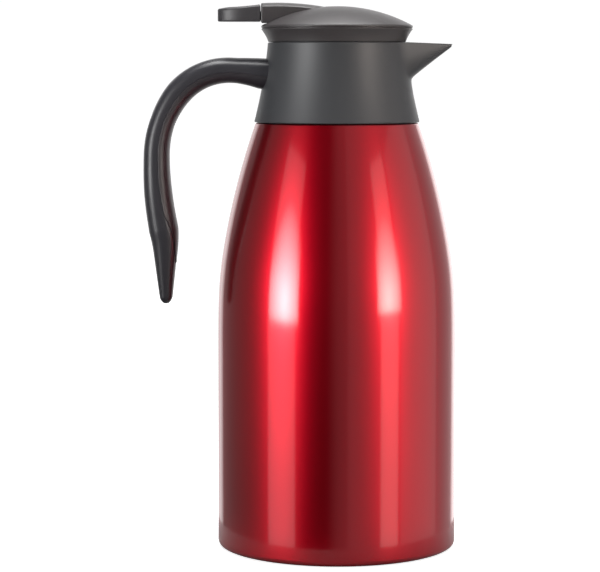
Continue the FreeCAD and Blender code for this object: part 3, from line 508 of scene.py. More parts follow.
def close_up(piece: bpy.types.Object, sharp: float = 42.0, weld: float = 0.004) -> None:
    """Welds doubles, turns faces outwards and shades smooth apart from sharp edges.

    Args:
        piece: a closed mesh.
        sharp: edges that bend by more degrees than this stay sharp.
        weld: doubles nearer than this many millimetres become one.
    """
    work = bmesh.new()
    work.from_mesh(piece.data)
    bmesh.ops.remove_doubles(work, verts=work.verts, dist=weld * MM)
    bmesh.ops.dissolve_degenerate(work, edges=work.edges, dist=weld * MM * 0.1)
    bmesh.ops.recalc_face_normals(work, faces=work.faces)
    work.to_mesh(piece.data)
    work.free()
    piece.data.shade_smooth()
    piece.data.set_sharp_from_angle(angle=math.radians(sharp))


def skin(
    name: str, rings: Sequence[Sequence[Point3]], loop: bool = False, sharp: float = 42.0
) -> bpy.types.Object:
    """A closed mesh through rings of points.

    Args:
        name: the piece's name.
        rings: closed rings with the same number of points each, in millimetres.
        loop: True joins the last ring to the first, and False caps both ends.
        sharp: edges that bend by more degrees than this stay sharp.

    Returns:
        The new piece.
    """
    count = len(rings[0])
    points = [tuple(part * MM for part in point) for ring in rings for point in ring]
    faces: list[tuple[int, ...]] = []
    for row in range(len(rings) if loop else len(rings) - 1):
        low, high = row * count, (row + 1) % len(rings) * count
        for column in range(count):
            beside = (column + 1) % count
            faces.append((low + column, low + beside, high + beside, high + column))
    if not loop:
        last = (len(rings) - 1) * count
        faces.append(tuple(reversed(range(count))))
        faces.append(tuple(range(last, last + count)))
    mesh = bpy.data.meshes.new(name)
    mesh.from_pydata(points, [], faces)
    piece = object_from(name, mesh)
    close_up(piece, sharp)
    return piece


def prism(name: str, outline: Sequence[Point2], low: float, high: float) -> bpy.types.Object:
    """A plate whose outline lies in the XZ plane, between two Y positions."""
    rings = [[(x, y, z) for x, z in outline] for y in (low, high)]
    return skin(name, rings, sharp=30.0)


def apply_modifiers(piece: bpy.types.Object) -> None:
    """Replaces the mesh with what the modifiers make of it."""
    graph = bpy.context.evaluated_depsgraph_get()
    mesh = bpy.data.meshes.new_from_object(piece.evaluated_get(graph))
    piece.modifiers.clear()
    piece.data = mesh


def carve(piece: bpy.types.Object, *cutters: bpy.types.Object) -> None:
    """Cuts the cutters out of a piece and removes them."""
    for cutter in cutters:
        modifier = piece.modifiers.new("cut", "BOOLEAN")
        modifier.operation = "DIFFERENCE"
        modifier.solver = "EXACT"
        modifier.object = cutter
        apply_modifiers(piece)
        bpy.data.objects.remove(cutter)


def soften_edges(piece: bpy.types.Object, width: float, segments: int = 3) -> None:
    """Bevels the sharp edges of a piece by that many millimetres."""
    modifier = piece.modifiers.new("edges", "BEVEL")
    modifier.width = width * MM
    modifier.segments = segments
    modifier.limit_method = "ANGLE"
    modifier.angle_limit = math.radians(35)
    modifier.harden_normals = False
    apply_modifiers(piece)
    piece.data.shade_smooth()
    piece.data.set_sharp_from_angle(angle=math.radians(50))


# ------------------------------------------------------------------ geometry node tools


class GeometryTool(TreeBuilder):
    """A Geometry Nodes tree with named inputs that turns a small mesh into a piece."""

    def __init__(self, name: str, inputs: dict[str, str]) -> None:
        """Makes the tree's interface.

        Args:
            name: the tree's name.
            inputs: input name to its socket type, after the geometry itself.
        """
        tree = bpy.data.node_groups.new(name, "GeometryNodeTree")
        super().__init__(tree)
        tree.interface.new_socket(name="Base", in_out="INPUT", socket_type="NodeSocketGeometry")
        self.identifiers: dict[str, str] = {}
        for label, kind in {**inputs, "Finish": "NodeSocketMaterial"}.items():
            socket = tree.interface.new_socket(name=label, in_out="INPUT", socket_type=kind)
            self.identifiers[label] = socket.identifier
        tree.interface.new_socket(name="Piece", in_out="OUTPUT", socket_type="NodeSocketGeometry")
        self.entry = self.node("NodeGroupInput")

    def given(self, label: str) -> Signal:
        """One of the tree's inputs."""
        return Signal(self, self.entry.outputs[label])

    def close(self, geometry: Signal) -> None:
        """Ends the tree: real geometry, with its finish."""
        real = self.take("GeometryNodeRealizeInstances", {"Geometry": geometry})
        values = {"Geometry": real, "Material": self.given("Finish")}
        self.node("NodeGroupOutput", {0: self.take("GeometryNodeSetMaterial", values)})

    def run(self, piece: bpy.types.Object, values: dict[str, object]) -> bpy.types.Object:
        """Runs the tree on a piece and keeps the result as its plain mesh."""
        modifier = piece.modifiers.new(self.tree.name, "NODES")
        modifier.node_group = self.tree
        for label, value in values.items():
            modifier[self.identifiers[label]] = value
        apply_modifiers(piece)
        return piece


class Lathe(GeometryTool):
    """Turns an outline about the Z axis."""

    def __init__(self) -> None:
        """Builds the tree: a grid whose rows follow the outline and whose columns go round."""
        super().__init__("lathe", {"Steps": "NodeSocketInt", "Weld": "NodeSocketFloat"})
        base, steps = self.given("Base"), self.given("Steps")
        count = self.take("GeometryNodeAttributeDomainSize", {"Geometry": base}, "Point Count")
        rows = count + 1
        values = {"Vertices X": steps + 1, "Vertices Y": rows}
        grid = self.take("GeometryNodeMeshGrid", values, "Mesh")
        index = self.take("GeometryNodeInputIndex")
        angle = (index / rows).floor() / steps * (2 * math.pi)
        place = self.take("GeometryNodeInputPosition")
        values = {"Geometry": base, "Value": place, "Index": index % rows % count}
        corner = self.take("GeometryNodeSampleIndex", values, data_type="FLOAT_VECTOR")
        radius, _, height = self.parts(corner)
        turned = self.vector(radius * angle.cos(), radius * angle.sin(), height)
        moved = self.take("GeometryNodeSetPosition", {"Geometry": grid, "Position": turned})
        values = {"Geometry": moved, "Distance": self.given("Weld")}
        self.close(self.take("GeometryNodeMergeByDistance", values))

    def turn(
        self,
        name: str,
        outline: Sequence[Point2],
        material: bpy.types.Material,
        steps: int = 160,
        sharp: float = 42.0,
    ) -> bpy.types.Object:
        """A turned piece.

        Args:
            name: the piece's name.
            outline: closed (radius, height) outline in millimetres.
            material: what it is made of.
            steps: how many faces go round.
            sharp: edges that bend by more degrees than this stay sharp.

        Returns:
            The new piece.
        """
        mesh = bpy.data.meshes.new(name)
        mesh.from_pydata([(r * MM, 0, z * MM) for r, z in outline], [], [])
        piece = object_from(name, mesh)
        self.run(piece, {"Steps": steps, "Weld": 0.002 * MM, "Finish": material})
        close_up(piece, sharp)
        return piece


class CoilMaker(GeometryTool):
    """Winds round wire into a compression spring along Z."""

    def __init__(self) -> None:
        """Builds the tree: a spiral line with a circle swept along it."""
        numbers = ("Turns", "Radius", "Wire", "Length", "Bottom")
        super().__init__("coil", {label: "NodeSocketFloat" for label in numbers})
        radius = self.given("Radius")
        values = {
            "Resolution": 48,
            "Rotations": self.given("Turns"),
            "Start Radius": radius,
            "End Radius": radius,
            "Height": self.given("Length"),
        }
        line = self.take("GeometryNodeCurveSpiral", values)
        values = {"Resolution": 12, "Radius": self.given("Wire")}
        section = self.take("GeometryNodeCurvePrimitiveCircle", values, mode="RADIUS")
        values = {"Curve": line, "Profile Curve": section, "Fill Caps": True}
        wire = self.take("GeometryNodeCurveToMesh", values)
        values = {"Geometry": wire, "Translation": self.vector(0, 0, self.given("Bottom"))}
        self.close(self.take("GeometryNodeTransform", values))


class RingOfCopies(GeometryTool):
    """Copies a small mesh to equally spaced places on a circle."""

    def __init__(self) -> None:
        """Builds the tree: instances on the points of a turned circle."""
        inputs = {"Count": "NodeSocketInt", "Radius": "NodeSocketFloat", "First": "NodeSocketFloat"}
        super().__init__("ring_of_copies", inputs)
        values = {"Vertices": self.given("Count"), "Radius": self.given("Radius")}
        ring = self.take("GeometryNodeMeshCircle", values)
        values = {"Geometry": ring, "Rotation": self.vector(0, 0, self.given("First"))}
        turned = self.take("GeometryNodeTransform", values)
        values = {"Points": turned, "Instance": self.given("Base")}
        self.close(self.take("GeometryNodeInstanceOnPoints", values))


# ------------------------------------------------------------------ the workshop


class Workshop:
    """Holds the palette and the tools, and hands finished pieces to the frame."""

    def __init__(self) -> None:
        """Sets out the finishes and builds the Geometry Nodes tools."""
        self.palette = Palette()
        self.lathe = Lathe()
        self.coils = CoilMaker()
        self.rings = RingOfCopies()

    def fit(
        self, piece: bpy.types.Object, body: Body, finish: str, replaced: str | None = None
    ) -> None:
        """Dresses a new piece, puts it on its body and hides the CAD node that it stands for.

        Args:
            piece: the finished mesh.
            body: what it moves with.
            finish: the palette's name of its finish.
            replaced: the CAD node that it stands for, if there is one.
        """
        piece.data.materials.clear()
        piece.data.materials.append(self.palette.material(finish))
        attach(piece, body.value)
        if replaced:
            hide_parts(replaced)
        self.palette.slot(finish)
        LOG.info("%s rides %s in %s", piece.name, body.value, finish)

    def dress(self, finishes: dict[str, str]) -> None:
        """Gives CAD nodes that stay in view their finishes, by node name."""
        for name, finish in finishes.items():
            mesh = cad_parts[name].data
            mesh.materials.clear()
            mesh.materials.append(self.palette.material(finish))
            LOG.info("%s keeps its CAD shape in %s", name, finish)


# ------------------------------------------------------------------ bottle


@dataclass
class Bottle:
    """The steel bottle: its lacquered shell, and the pieces inside and under it."""

    shop: Workshop
    foot_inner: float = 57.0
    foot_corner: float = 3.0
    radius: float = 65.0
    wall: float = 0.6
    straight: float = 104.137
    bends: tuple[tuple[float, float], ...] = (
        (1800, 0.25),
        (900, 0.55),
        (500, 0.95),
        (300, 1.6),
        (220, 2.0),
        (200, 2.2),
        (240, 1.6),
        (320, 1.2),
        (407.16, 8.95),
    )
    fold: float = 1.2
    fold_heading: float = 175.0
    ledge: float = 7.26
    neck_root: float = 2.5
    neck: float = 12.425
    finishes: dict[str, str] = field(
        default_factory=lambda: {
            "inner_liner": "steel",
            "radiation_foil": "foil",
            "base_plate": "steel",
            "evacuation_seal": "bead",
            "getter": "getter",
        }
    )

    def moves(self) -> list[tuple[float, float]]:
        """The press path of the shell's outer skin as (length, 0) runs and (radius, angle) bends."""
        lean = sum(angle for _, angle in self.bends)
        return [
            (self.radius - self.foot_corner - self.foot_inner, 0),
            (self.foot_corner, 90),
            (self.straight, 0),
            *self.bends,
            (self.fold, self.fold_heading - 90 - lean),
            (self.ledge, 0),
            (self.neck_root, 90 - self.fold_heading),
            (self.neck, 0),
        ]

    def skins(self) -> list[Point2]:
        """The shell's closed outline: the outer skin, then the inner one walked back."""
        r, z, heading = self.foot_inner, 0.0, 0.0

        def inner() -> Point2:
            """The inner skin's point beside the outer skin's last one."""
            angle = math.radians(heading)
            return r - self.wall * math.sin(angle), z + self.wall * math.cos(angle)

        outer, inside = [(r, z)], [inner()]
        for length, angle in self.moves():
            steps = max(1, math.ceil(abs(angle) / 0.6))
            if length > 60 and not angle:
                steps = 8
            distance = math.radians(abs(angle)) * length if angle else length
            for _ in range(steps):
                middle = math.radians(heading + angle / steps / 2)
                r += distance / steps * math.cos(middle)
                z += distance / steps * math.sin(middle)
                heading += angle / steps
                outer.append((r, z))
                inside.append(inner())
        return outer + inside[::-1]

    def build(self) -> None:
        """Makes the shell and dresses the rest."""
        shell = self.shop.lathe.turn(
            "lacquered_shell", self.skins(), self.shop.palette.material("lacquer"), 256, 60
        )
        self.shop.fit(shell, Body.CARAFE, "lacquer", "outer_shell")
        self.shop.dress(self.finishes)


# ------------------------------------------------------------------ collar


@dataclass(frozen=True)
class Beak:
    """A spout's tapering U: half width and depth at a root X, shrinking in a straight line."""

    root_x: float
    half_width: float
    depth: float
    tip_x: float
    tip_half_width: float
    tip_depth: float
    roundness: float = 3.0

    def reach(self, angle: float, drop: float) -> float:
        """How far out from the axis the beak goes.

        Args:
            angle: direction seen from above, from +X, in radians.
            drop: how far below the rim, in millimetres.

        Returns:
            The radius in millimetres, or 0 where the beak isn't.
        """
        if math.cos(angle) <= 0.1:
            return 0.0
        low, high = 0.0, 70.0
        for _ in range(36):
            middle = (low + high) / 2
            if self.holds(middle * math.cos(angle), middle * math.sin(angle), drop):
                low = middle
            else:
                high = middle
        return low

    def holds(self, x: float, y: float, drop: float) -> bool:
        """True if the beak's U holds the point."""
        share = max(0.0, (x - self.root_x) / (self.tip_x - self.root_x))
        width = self.half_width + (self.tip_half_width - self.half_width) * share
        depth = self.depth + (self.tip_depth - self.depth) * share
        if width <= 0 or depth <= 0:
            return False
        power = self.roundness
        return (abs(y) / width) ** power + (drop / depth) ** power <= 1


def smooth_max(first: float, second: float, blend: float) -> float:
    """The larger of two lengths, with the corner between them filled by about blend."""
    return (first + second + math.hypot(first - second, blend)) / 2


@dataclass
class Collar:
    """The collar with its spout, and the pieces that it covers."""

    shop: Workshop
    bottom: float = 231.4
    top: float = 274.3
    bottom_radius: float = 44.9
    top_radius: float = 37.4
    flare: float = 255.0
    wall: float = 2.4
    edge: float = 0.5
    chamber: float = 35.3
    floor: float = 260.0
    shelf: tuple[float, float] = (258.2, 259.6)
    shelf_radius: tuple[float, float] = (33.3, 36.9)
    tip_limit: float = 62.0
    tip_drop: float = 0.8
    outside: Beak = Beak(30, 20.5, 27.2, 62.6, 1.7, 1.1)
    channel: Beak = Beak(30, 18.5, 17.6, 60.9, 0.7, 0.9)
    spout_foot: float = 246.3
    columns: int = 288
    plain_rows: int = 12
    rows: int = 84
    inner_rows: int = 40
    crowding: float = 0.82

    def flare_radius(self, z: float) -> float:
        """Radius of the flared outside at a height."""
        line = Outline(self.bottom_radius, self.bottom)
        line.arc(self.top_radius, self.top - self.edge, self.flare, -1, 24)
        for low, high in zip(line.points, line.points[1:]):
            if z <= high[1]:
                share = (z - low[1]) / (high[1] - low[1])
                return low[0] + (high[0] - low[0]) * share
        return self.top_radius

    def directions(self) -> list[float]:
        """Angles round the collar, closer together at the spout."""
        turns = spaced(0, 2 * math.pi, self.columns)[:-1]
        return [turn - self.crowding * math.sin(turn) for turn in turns]

    def outer_radius(self, angle: float, z: float) -> float:
        """Radius of the outside with the spout blended in."""
        beak = self.outside.reach(angle, max(self.top - z, 0.0))
        beak = -smooth_max(-beak, -self.tip_limit, 0.5)
        plain = self.flare_radius(z)
        return smooth_max(plain, beak, 1.6) if beak > plain - 12 else plain

    def inner_radius(self, angle: float, z: float) -> float:
        """Radius of the inside above the chamber's floor, with the channel open."""
        channel = self.channel.reach(angle, max(self.top - z, 0.0))
        return smooth_max(self.chamber, channel, 0.8) if channel > 30 else self.chamber

    def section(self, angle: float) -> list[Point3]:
        """The collar's closed section in one direction."""
        shoulder = self.top - self.edge
        heights = spaced(self.bottom + self.edge, self.spout_foot, self.plain_rows)[:-1]
        heights += spaced(self.spout_foot, shoulder, self.rows - 1)
        points = [(self.outer_radius(angle, z), z) for z in heights]
        rim_out = self.outer_radius(angle, self.top)
        rim_in = self.inner_radius(angle, self.top)
        for c, s in quarter(3)[1:]:
            points.append((rim_out - self.edge * (1 - c), self.top - self.edge * (1 - s)))
        for c, s in quarter(3):
            points.append((rim_in + self.edge * (1 - s), self.top - self.edge * (1 - c)))
        for z in spaced(shoulder, self.floor, self.inner_rows)[1:]:
            points.append((self.inner_radius(angle, z), z))
        inner, outer = self.shelf_radius
        low, high = self.shelf
        points += [(inner + 0.3, high), (inner, high - 0.4), (inner, low), (outer, low)]
        points += [(self.flare_radius(z) - self.wall, z) for z in spaced(low, self.bottom, 8)[1:]]
        points.append((self.bottom_radius - self.edge, self.bottom))
        return [self.seated(angle, r, z) for r, z in points]

    def seated(self, angle: float, r: float, z: float) -> Point3:
        """A section point in space, with the rim falling slightly towards the spout's tip."""
        x, y = r * math.cos(angle), r * math.sin(angle)
        share = max(0.0, (x - 38) / (self.tip_limit - 38)) * max(0.0, (z - 250) / 24.3)
        return x, y, z - self.tip_drop * share

    def build(self) -> None:
        """Makes the collar and dresses the ring and the seal inside it."""
        rings = [self.section(angle) for angle in self.directions()]
        collar = skin("collar_with_spout", rings, loop=True, sharp=50)
        self.shop.fit(collar, Body.CARAFE, "collar", "collar")
        self.shop.dress(
            {"thread_ring": "inner_plastic", "collar_gasket": "silicone", "handle_screws": "screw"}
        )


# ------------------------------------------------------------------ handle


@dataclass
class Handle:
    """The open handle: a back shell and a palm cover with a fine seam between them."""

    shop: Workshop
    collar: Collar
    start: Point3 = (-33.5, 256.2, 169.4)
    moves: tuple[tuple[float, float], ...] = (
        (6.3, 0),
        (122, 8.2),
        (35.9, 57.9),
        (54.7, 33),
        (180, 11.2),
        (5.2, 0),
        (78.4, -9.2),
        (29, 0),
    )
    girth: tuple[Point3, ...] = (
        (0.0, 18.6, 27.0),
        (0.04, 16.8, 26.5),
        (0.08, 15.0, 26.0),
        (0.12, 13.7, 25.5),
        (0.32, 14.4, 25.0),
        (0.42, 13.5, 25.0),
        (0.57, 14.3, 25.5),
        (0.65, 15.2, 26.0),
        (0.77, 16.0, 25.5),
        (1.0, 6.3, 12.6),
    )
    seam: tuple[Point2, ...] = (
        (0.0, 0.08),
        (0.62, 0.10),
        (0.72, 0.16),
        (0.80, 0.36),
        (0.87, 0.47),
        (1.0, 0.47),
    )
    first: float = 5.0
    cover_tail: float = 22.0
    spacing: float = 1.6
    nose: float = 4.0
    power: float = 2.7
    groove: float = 0.08
    step: float = 0.14
    lap: float = 0.7

    @staticmethod
    def read(table: Sequence[Sequence[float]], share: float) -> list[float]:
        """A table's values at a share of the length, straight between its rows."""
        for low, high in zip(table, table[1:]):
            if share <= high[0]:
                blend = (share - low[0]) / (high[0] - low[0])
                return [a + (b - a) * blend for a, b in zip(low[1:], high[1:])]
        return list(table[-1][1:])

    def line(self) -> list[tuple[float, float, float, float]]:
        """The centre line as (distance, x, z, heading in degrees)."""
        x, z, heading = self.start
        travelled = 0.0
        found = [(0.0, x, z, heading)]
        for length, angle in self.moves:
            distance = math.radians(abs(angle)) * length if angle else length
            steps = max(1, round(distance / self.spacing))
            for _ in range(steps):
                middle = math.radians(heading + angle / steps / 2)
                x += distance / steps * math.cos(middle)
                z += distance / steps * math.sin(middle)
                heading += angle / steps
                travelled += distance / steps
                found.append((travelled, x, z, heading))
        return found

    def stations(self) -> list[tuple[float, float, float, float, float]]:
        """Where the sections lie, as (distance, x, z, heading, scale), rounded off at the tail."""
        line = self.line()
        length = line[-1][0]
        found = [(*entry, 1.0) for entry in line if self.first <= entry[0] < length - self.nose]
        for c, s in quarter(8):
            wanted = length - self.nose + self.nose * s
            scale = max(c, 0.04)
            distance, x, z, heading = min(line, key=lambda entry: abs(entry[0] - wanted))
            ahead = wanted - distance
            x += ahead * math.cos(math.radians(heading))
            z += ahead * math.sin(math.radians(heading))
            found.append((wanted, x, z, heading, scale))
        return found

    def section(
        self, thickness: float, width: float, seam: float, palm: bool
    ) -> list[Point2]:
        """One half of a section as (towards the palm, across) points.

        Args:
            thickness: whole size towards the palm.
            width: whole size across.
            seam: the seam's place as a share of the thickness from the middle.
            palm: True for the palm cover, False for the back shell.

        Returns:
            A closed ring of points, starting and ending on the seam.
        """
        start = math.acos(min((2 * seam) ** (self.power / 2), 0.999))
        if palm:
            start, sweep = -start, 2 * start
            inset, lift = self.step, self.groove
        else:
            sweep = 2 * math.pi - 2 * start
            inset, lift = 0.0, 0.0
        ring = []
        for turn in spaced(start, start + sweep, 40):
            n, y = squarish(turn, self.power)
            ring.append((n * (thickness / 2 - inset * 0.5), y * (width / 2 - inset)))
        flat = seam * thickness + lift
        depth = flat - self.lap if palm else flat
        ring[0] = (flat + (0.2 if palm else -0.2), ring[0][1])
        ring[-1] = (flat + (0.2 if palm else -0.2), ring[-1][1])
        inner_y = max(abs(ring[0][1]) - 0.35, 0.1)
        tail = math.copysign(inner_y, ring[-1][1])
        ring += [(depth, tail * share) for share in (1.0, 0.5, 0.0, -0.5, -1.0)]
        return ring

    def seated(self, ring: Sequence[Point3]) -> list[Point3]:
        """The root's first ring laid in the middle of the collar's curved wall."""
        seat = self.collar.wall / 2
        return [
            (-math.sqrt((self.collar.flare_radius(z) - seat) ** 2 - y**2), y, z) for _, y, z in ring
        ]

    def half(self, name: str, palm: bool, low: float, high: float) -> bpy.types.Object:
        """Skins one half between two distances along the handle."""
        stations = self.stations()
        length = self.line()[-1][0]
        rings = []
        for distance, x, z, heading, scale in stations:
            if not low <= distance <= high:
                continue
            share = distance / length
            thickness, width = self.read(self.girth, share)
            seam = self.read(self.seam, share)[0]
            if not palm and distance > length - self.cover_tail:
                seam = self.seam[-1][1]
            angle = math.radians(heading)
            ring = []
            for n, y in self.section(thickness * scale, width * scale, seam, palm):
                ring.append((x - n * math.sin(angle), y, z + n * math.cos(angle)))
            rings.append(ring)
        if low == 0:
            rings[0] = self.seated(rings[0])
        return skin(name, rings, sharp=34)

    def build(self) -> None:
        """Makes both halves."""
        length = self.line()[-1][0]
        shell = self.half("handle_back", False, 0, length)
        self.shop.fit(shell, Body.CARAFE, "handle", "handle_shell")
        cover = self.half("handle_palm", True, 0, length - self.cover_tail)
        self.shop.fit(cover, Body.CARAFE, "grip", "handle_cover")


# ------------------------------------------------------------------ lid


@dataclass
class Lid:
    """The lid's cover with its hood, and the pieces under it."""

    shop: Workshop
    skirt: tuple[Point2, Point2] = ((37.1, 274.6), (40.8, 281.3))
    skirt_flare: float = 23.0
    skirt_inner: float = 35.5
    rim: Point2 = (40.2, 283.7)
    dome_radius: float = 85.0
    dome_top: float = 293.8
    wall: float = 2.0
    inner_edge: Point2 = (37.6, 282.79)
    hood_x: Point2 = (-41.0, -6.0)
    hood_half: float = 10.0
    hood_wall: float = 1.8
    hood_top: float = 295.7
    hood_centre: float = -32.5
    hood_arc: float = 150.0
    hood_crown: float = 29.5
    hood_bottom: float = 284.9
    hood_corner: float = 0.9
    slot: tuple[Point2, Point2] = ((-46, 284.3), (-9, 297))
    slot_half: float = 8.1
    screw_count: int = 3
    screw_circle: float = 23.2
    finishes: dict[str, str] = field(
        default_factory=lambda: {
            "stopper_cup": "inner_plastic",
            "lid_deck": "inner_plastic",
            "stem_gland": "silicone",
            "spring_washer": "screw",
            "lever_pin": "screw",
            "mouth_gasket": "silicone",
        }
    )

    def roof(self, x: float) -> float:
        """Height of the hood's ridge at x."""
        across = x - self.hood_centre
        return self.hood_top - self.hood_arc + math.sqrt(self.hood_arc**2 - across**2)

    def crown(self, y: float) -> float:
        """How far the hood's roof falls from its ridge at y."""
        return self.hood_crown - math.sqrt(self.hood_crown**2 - y * y)

    def dome(self, x: float, y: float) -> float:
        """Height of the dome's skin, or of its rim outside it."""
        away = min(math.hypot(x, y), self.rim[0])
        return self.dome_top - self.dome_radius + math.sqrt(self.dome_radius**2 - away**2)

    def make_dome(self) -> bpy.types.Object:
        """The turned cover, with the fine groove under its rim and the lever's slot."""
        (low_r, low_z), (high_r, high_z) = self.skirt
        outline = Outline(self.skirt_inner, low_z).line((low_r, low_z))
        outline.arc(high_r, high_z, self.skirt_flare, -1, 14)
        outline.line((high_r + 0.05, high_z + 0.35), (high_r - 0.45, high_z + 0.6))
        outline.line((high_r - 0.4, high_z + 0.85), (high_r + 0.15, high_z + 1.05))
        outline.arc(*self.rim, 1.25, 1, 8)
        outline.arc(0, self.dome_top, self.dome_radius, 1, 40)
        outline.line((0, self.dome_top - self.wall))
        outline.arc(*self.inner_edge, self.dome_radius - self.wall, -1, 20)
        dome = self.shop.lathe.turn(
            "lid_dome", outline.softened(0.2, 3, 40), self.shop.palette.material("lid"), 200, 50
        )
        (low_x, bottom), (high_x, above) = self.slot
        slot = [(low_x, bottom), (high_x, bottom), (high_x, above), (low_x, above)]
        carve(dome, prism("slot_cutter", slot, -self.slot_half, self.slot_half))
        dome.data.shade_smooth()
        dome.data.set_sharp_from_angle(angle=math.radians(40))
        return dome

    def hood_ring(self, x: float, inset: float) -> list[Point3]:
        """The hood's inverted U at one X, drawn in by inset at its outside."""
        half = self.hood_half - inset
        top = self.roof(x) - inset
        corner = self.hood_corner
        floor = max(self.dome(x, self.hood_half) - 1.2, self.hood_bottom + inset)
        if x < -39:
            floor = self.hood_bottom + inset
        outer: list[Point2] = [(-half, floor)]
        side_top = top - self.crown(half) - corner
        outer += [(-half, floor + (side_top - floor) * share) for share in (0.33, 0.66)]
        for c, s in quarter(4):
            outer.append((-(half - corner + corner * c), side_top + corner * s))
        roof = [(y, top - self.crown(y)) for y in self.spread(half - corner - 0.6)]
        mirrored = [(-y, z) for y, z in reversed(outer)]
        inner_half = self.hood_half - self.hood_wall
        inner_top = self.roof(x) - self.hood_wall
        inside = [(inner_half, floor)]
        inside += [(y, inner_top - self.crown(y)) for y in reversed(self.spread(inner_half))]
        inside.append((-inner_half, floor))
        return [(x, y, z) for y, z in outer + roof + mirrored + inside]

    @staticmethod
    def spread(half: float) -> list[float]:
        """Nine places from -half to half."""
        return spaced(-half, half, 8)

    def make_hood(self) -> bpy.types.Object:
        """The hood over the lever's arm, with a softened mouth."""
        mouth, end = self.hood_x
        places = [(mouth, 0.45), (mouth + 0.12, 0.2)]
        places += [(x, 0.0) for x in spaced(mouth + 0.45, end, 28)]
        return skin("lid_hood", [self.hood_ring(x, inset) for x, inset in places], sharp=50)

    def make_screws(self) -> bpy.types.Object:
        """The deck's screws: one turned screw with a driver recess, copied round the circle."""
        low, deck, head = 262.5, 275.5, 277.3
        outline = Outline(0, low).line((1.45, low + 1.2), (1.45, deck))
        outline.line((2.6, deck), (2.6, deck + 0.7))
        outline.arc(1.3, head, 2.6, 1, 5).line((1.1, head), (0.9, head - 1.0), (0, head - 1.3))
        material = self.shop.palette.material("screw")
        screws = self.shop.lathe.turn("lid_screws", outline.softened(0.12, 2), material, 32)
        first = math.pi / self.screw_count
        values = {"Count": self.screw_count, "Radius": self.screw_circle * MM, "First": first}
        self.shop.rings.run(screws, {**values, "Finish": material})
        close_up(screws)
        return screws

    def build(self) -> None:
        """Makes the cover and the screws, and dresses the rest."""
        self.shop.fit(self.make_dome(), Body.LID, "lid", "lid_cover")
        self.shop.fit(self.make_hood(), Body.LID, "lid")
        self.shop.fit(self.make_screws(), Body.LID, "screw", "deck_screws")
        self.shop.dress(self.finishes)


# ------------------------------------------------------------------ lever


@dataclass
class Lever:
    """The thumb lever: a dished tab outside the hood and a forked arm inside."""

    shop: Workshop
    lid: Lid
    tip: float = -64.4
    shoulder: float = -41.5
    bottom: float = 285.5
    half: float = 10.0
    nose: float = 17.0
    roundness: float = 2.25
    dish_centre: float = -54.0
    dish_depth: float = 0.9
    dish_radius: float = 62.0
    edge: float = 0.7
    middle: float = -52.5
    pivot: Point2 = (-35.0, 287.4)
    bore: float = 1.56
    arm_half: float = 5.6
    fork: float = 3.4
    fork_root: float = -6.0
    fork_mouth: float = 8.0

    def plan(self) -> list[Point2]:
        """The tab's outline from above."""
        flank = self.tip + self.nose
        points = [(x, self.half) for x in spaced(self.shoulder, flank, 8)]
        for turn in spaced(math.pi / 2, 1.5 * math.pi, 48)[1:-1]:
            x, y = squarish(turn, self.roundness)
            points.append((flank + self.nose * x, self.half * y))
        points += [(x, -self.half) for x in spaced(flank, self.shoulder, 8)]
        points += [(self.shoulder, y) for y in spaced(-self.half, self.half, 12)[1:-1]]
        return points

    def top(self, x: float, y: float) -> float:
        """Height of the tab's top, crowned and dished for the thumb."""
        height = self.lid.roof(x) - self.lid.crown(y)
        away = (x - self.dish_centre) ** 2 + y * y
        bowl = self.lid.roof(self.dish_centre) - self.dish_depth + self.dish_radius
        bowl -= math.sqrt(self.dish_radius**2 - away)
        return -smooth_max(-height, -bowl, 0.25)

    def make_tab(self) -> bpy.types.Object:
        """The tab as rings from the middle of its underside to the middle of its top."""
        edge, bottom, top = self.edge, self.bottom, self.top
        centre = Vector((self.middle, 0))
        plan = [Vector(point) - centre for point in self.plan()]

        def ring(scale: float, inset: float, height: Height) -> list[Point3]:
            """The plan scaled about its middle, drawn in by inset and laid at that height."""
            made = []
            for arm in plan:
                x, y = centre + arm.normalized() * max(arm.length * scale - inset, 0.01)
                made.append((x, y, height(x, y)))
            return made

        def raised(lift: float) -> Height:
            """A level so far above the underside."""
            return lambda x, y: bottom + lift

        def between(share: float) -> Height:
            """A level at a share of the way up the side."""
            return lambda x, y: bottom + edge + (top(x, y) - 2 * edge - bottom) * share

        def lowered(fall: float) -> Height:
            """The top's shape, so far below it."""
            return lambda x, y: top(x, y) - fall

        rings = [ring(share, 0, raised(0)) for share in (0.02, 0.3, 0.6, 0.85)]
        rings += [ring(1, edge * (1 - s), raised(edge * (1 - c))) for c, s in quarter(4)]
        rings += [ring(1, 0, between(share)) for share in (0.33, 0.66)]
        rings += [ring(1, edge * (1 - c), lowered(edge * (1 - s))) for c, s in quarter(4)]
        rings += [ring(share, edge, top) for share in (0.9, 0.75, 0.6, 0.45, 0.3, 0.15)]
        rings.append(ring(0.02, 0, top))
        return skin("thumb_tab", rings, sharp=40)

    def make_arm(self) -> bpy.types.Object:
        """The arm with its bore and the fork under the stem's cap."""
        outline = Outline(-42.5, 286.3).line((-27, 284.8), (-5, 278.86), (4, 278.86), (4, 282.57))
        outline.arc(-5, 282.06, 10, 1, 8).line((-27, 289.6), (-35, 291), (-42.5, 291))
        arm = prism("lever_arm", outline.softened(0.6, 3), -self.arm_half, self.arm_half)
        gap = circle(self.fork, 32, self.fork_root)[8:25]
        gap += [(self.fork_mouth, -self.fork), (self.fork_mouth, self.fork)]
        fork = skin("fork_cutter", [[(x, y, z) for x, y in gap] for z in (274, 292)])
        carve(arm, prism("bore_cutter", circle(self.bore, 32, *self.pivot), -7, 7), fork)
        close_up(arm, 30)
        soften_edges(arm, 0.25, 2)
        return arm

    def build(self) -> None:
        """Makes the tab and the arm."""
        self.shop.fit(self.make_tab(), Body.LEVER, "lever", "thumb_lever")
        self.shop.fit(self.make_arm(), Body.LEVER, "inner_plastic")


# ------------------------------------------------------------------ valve


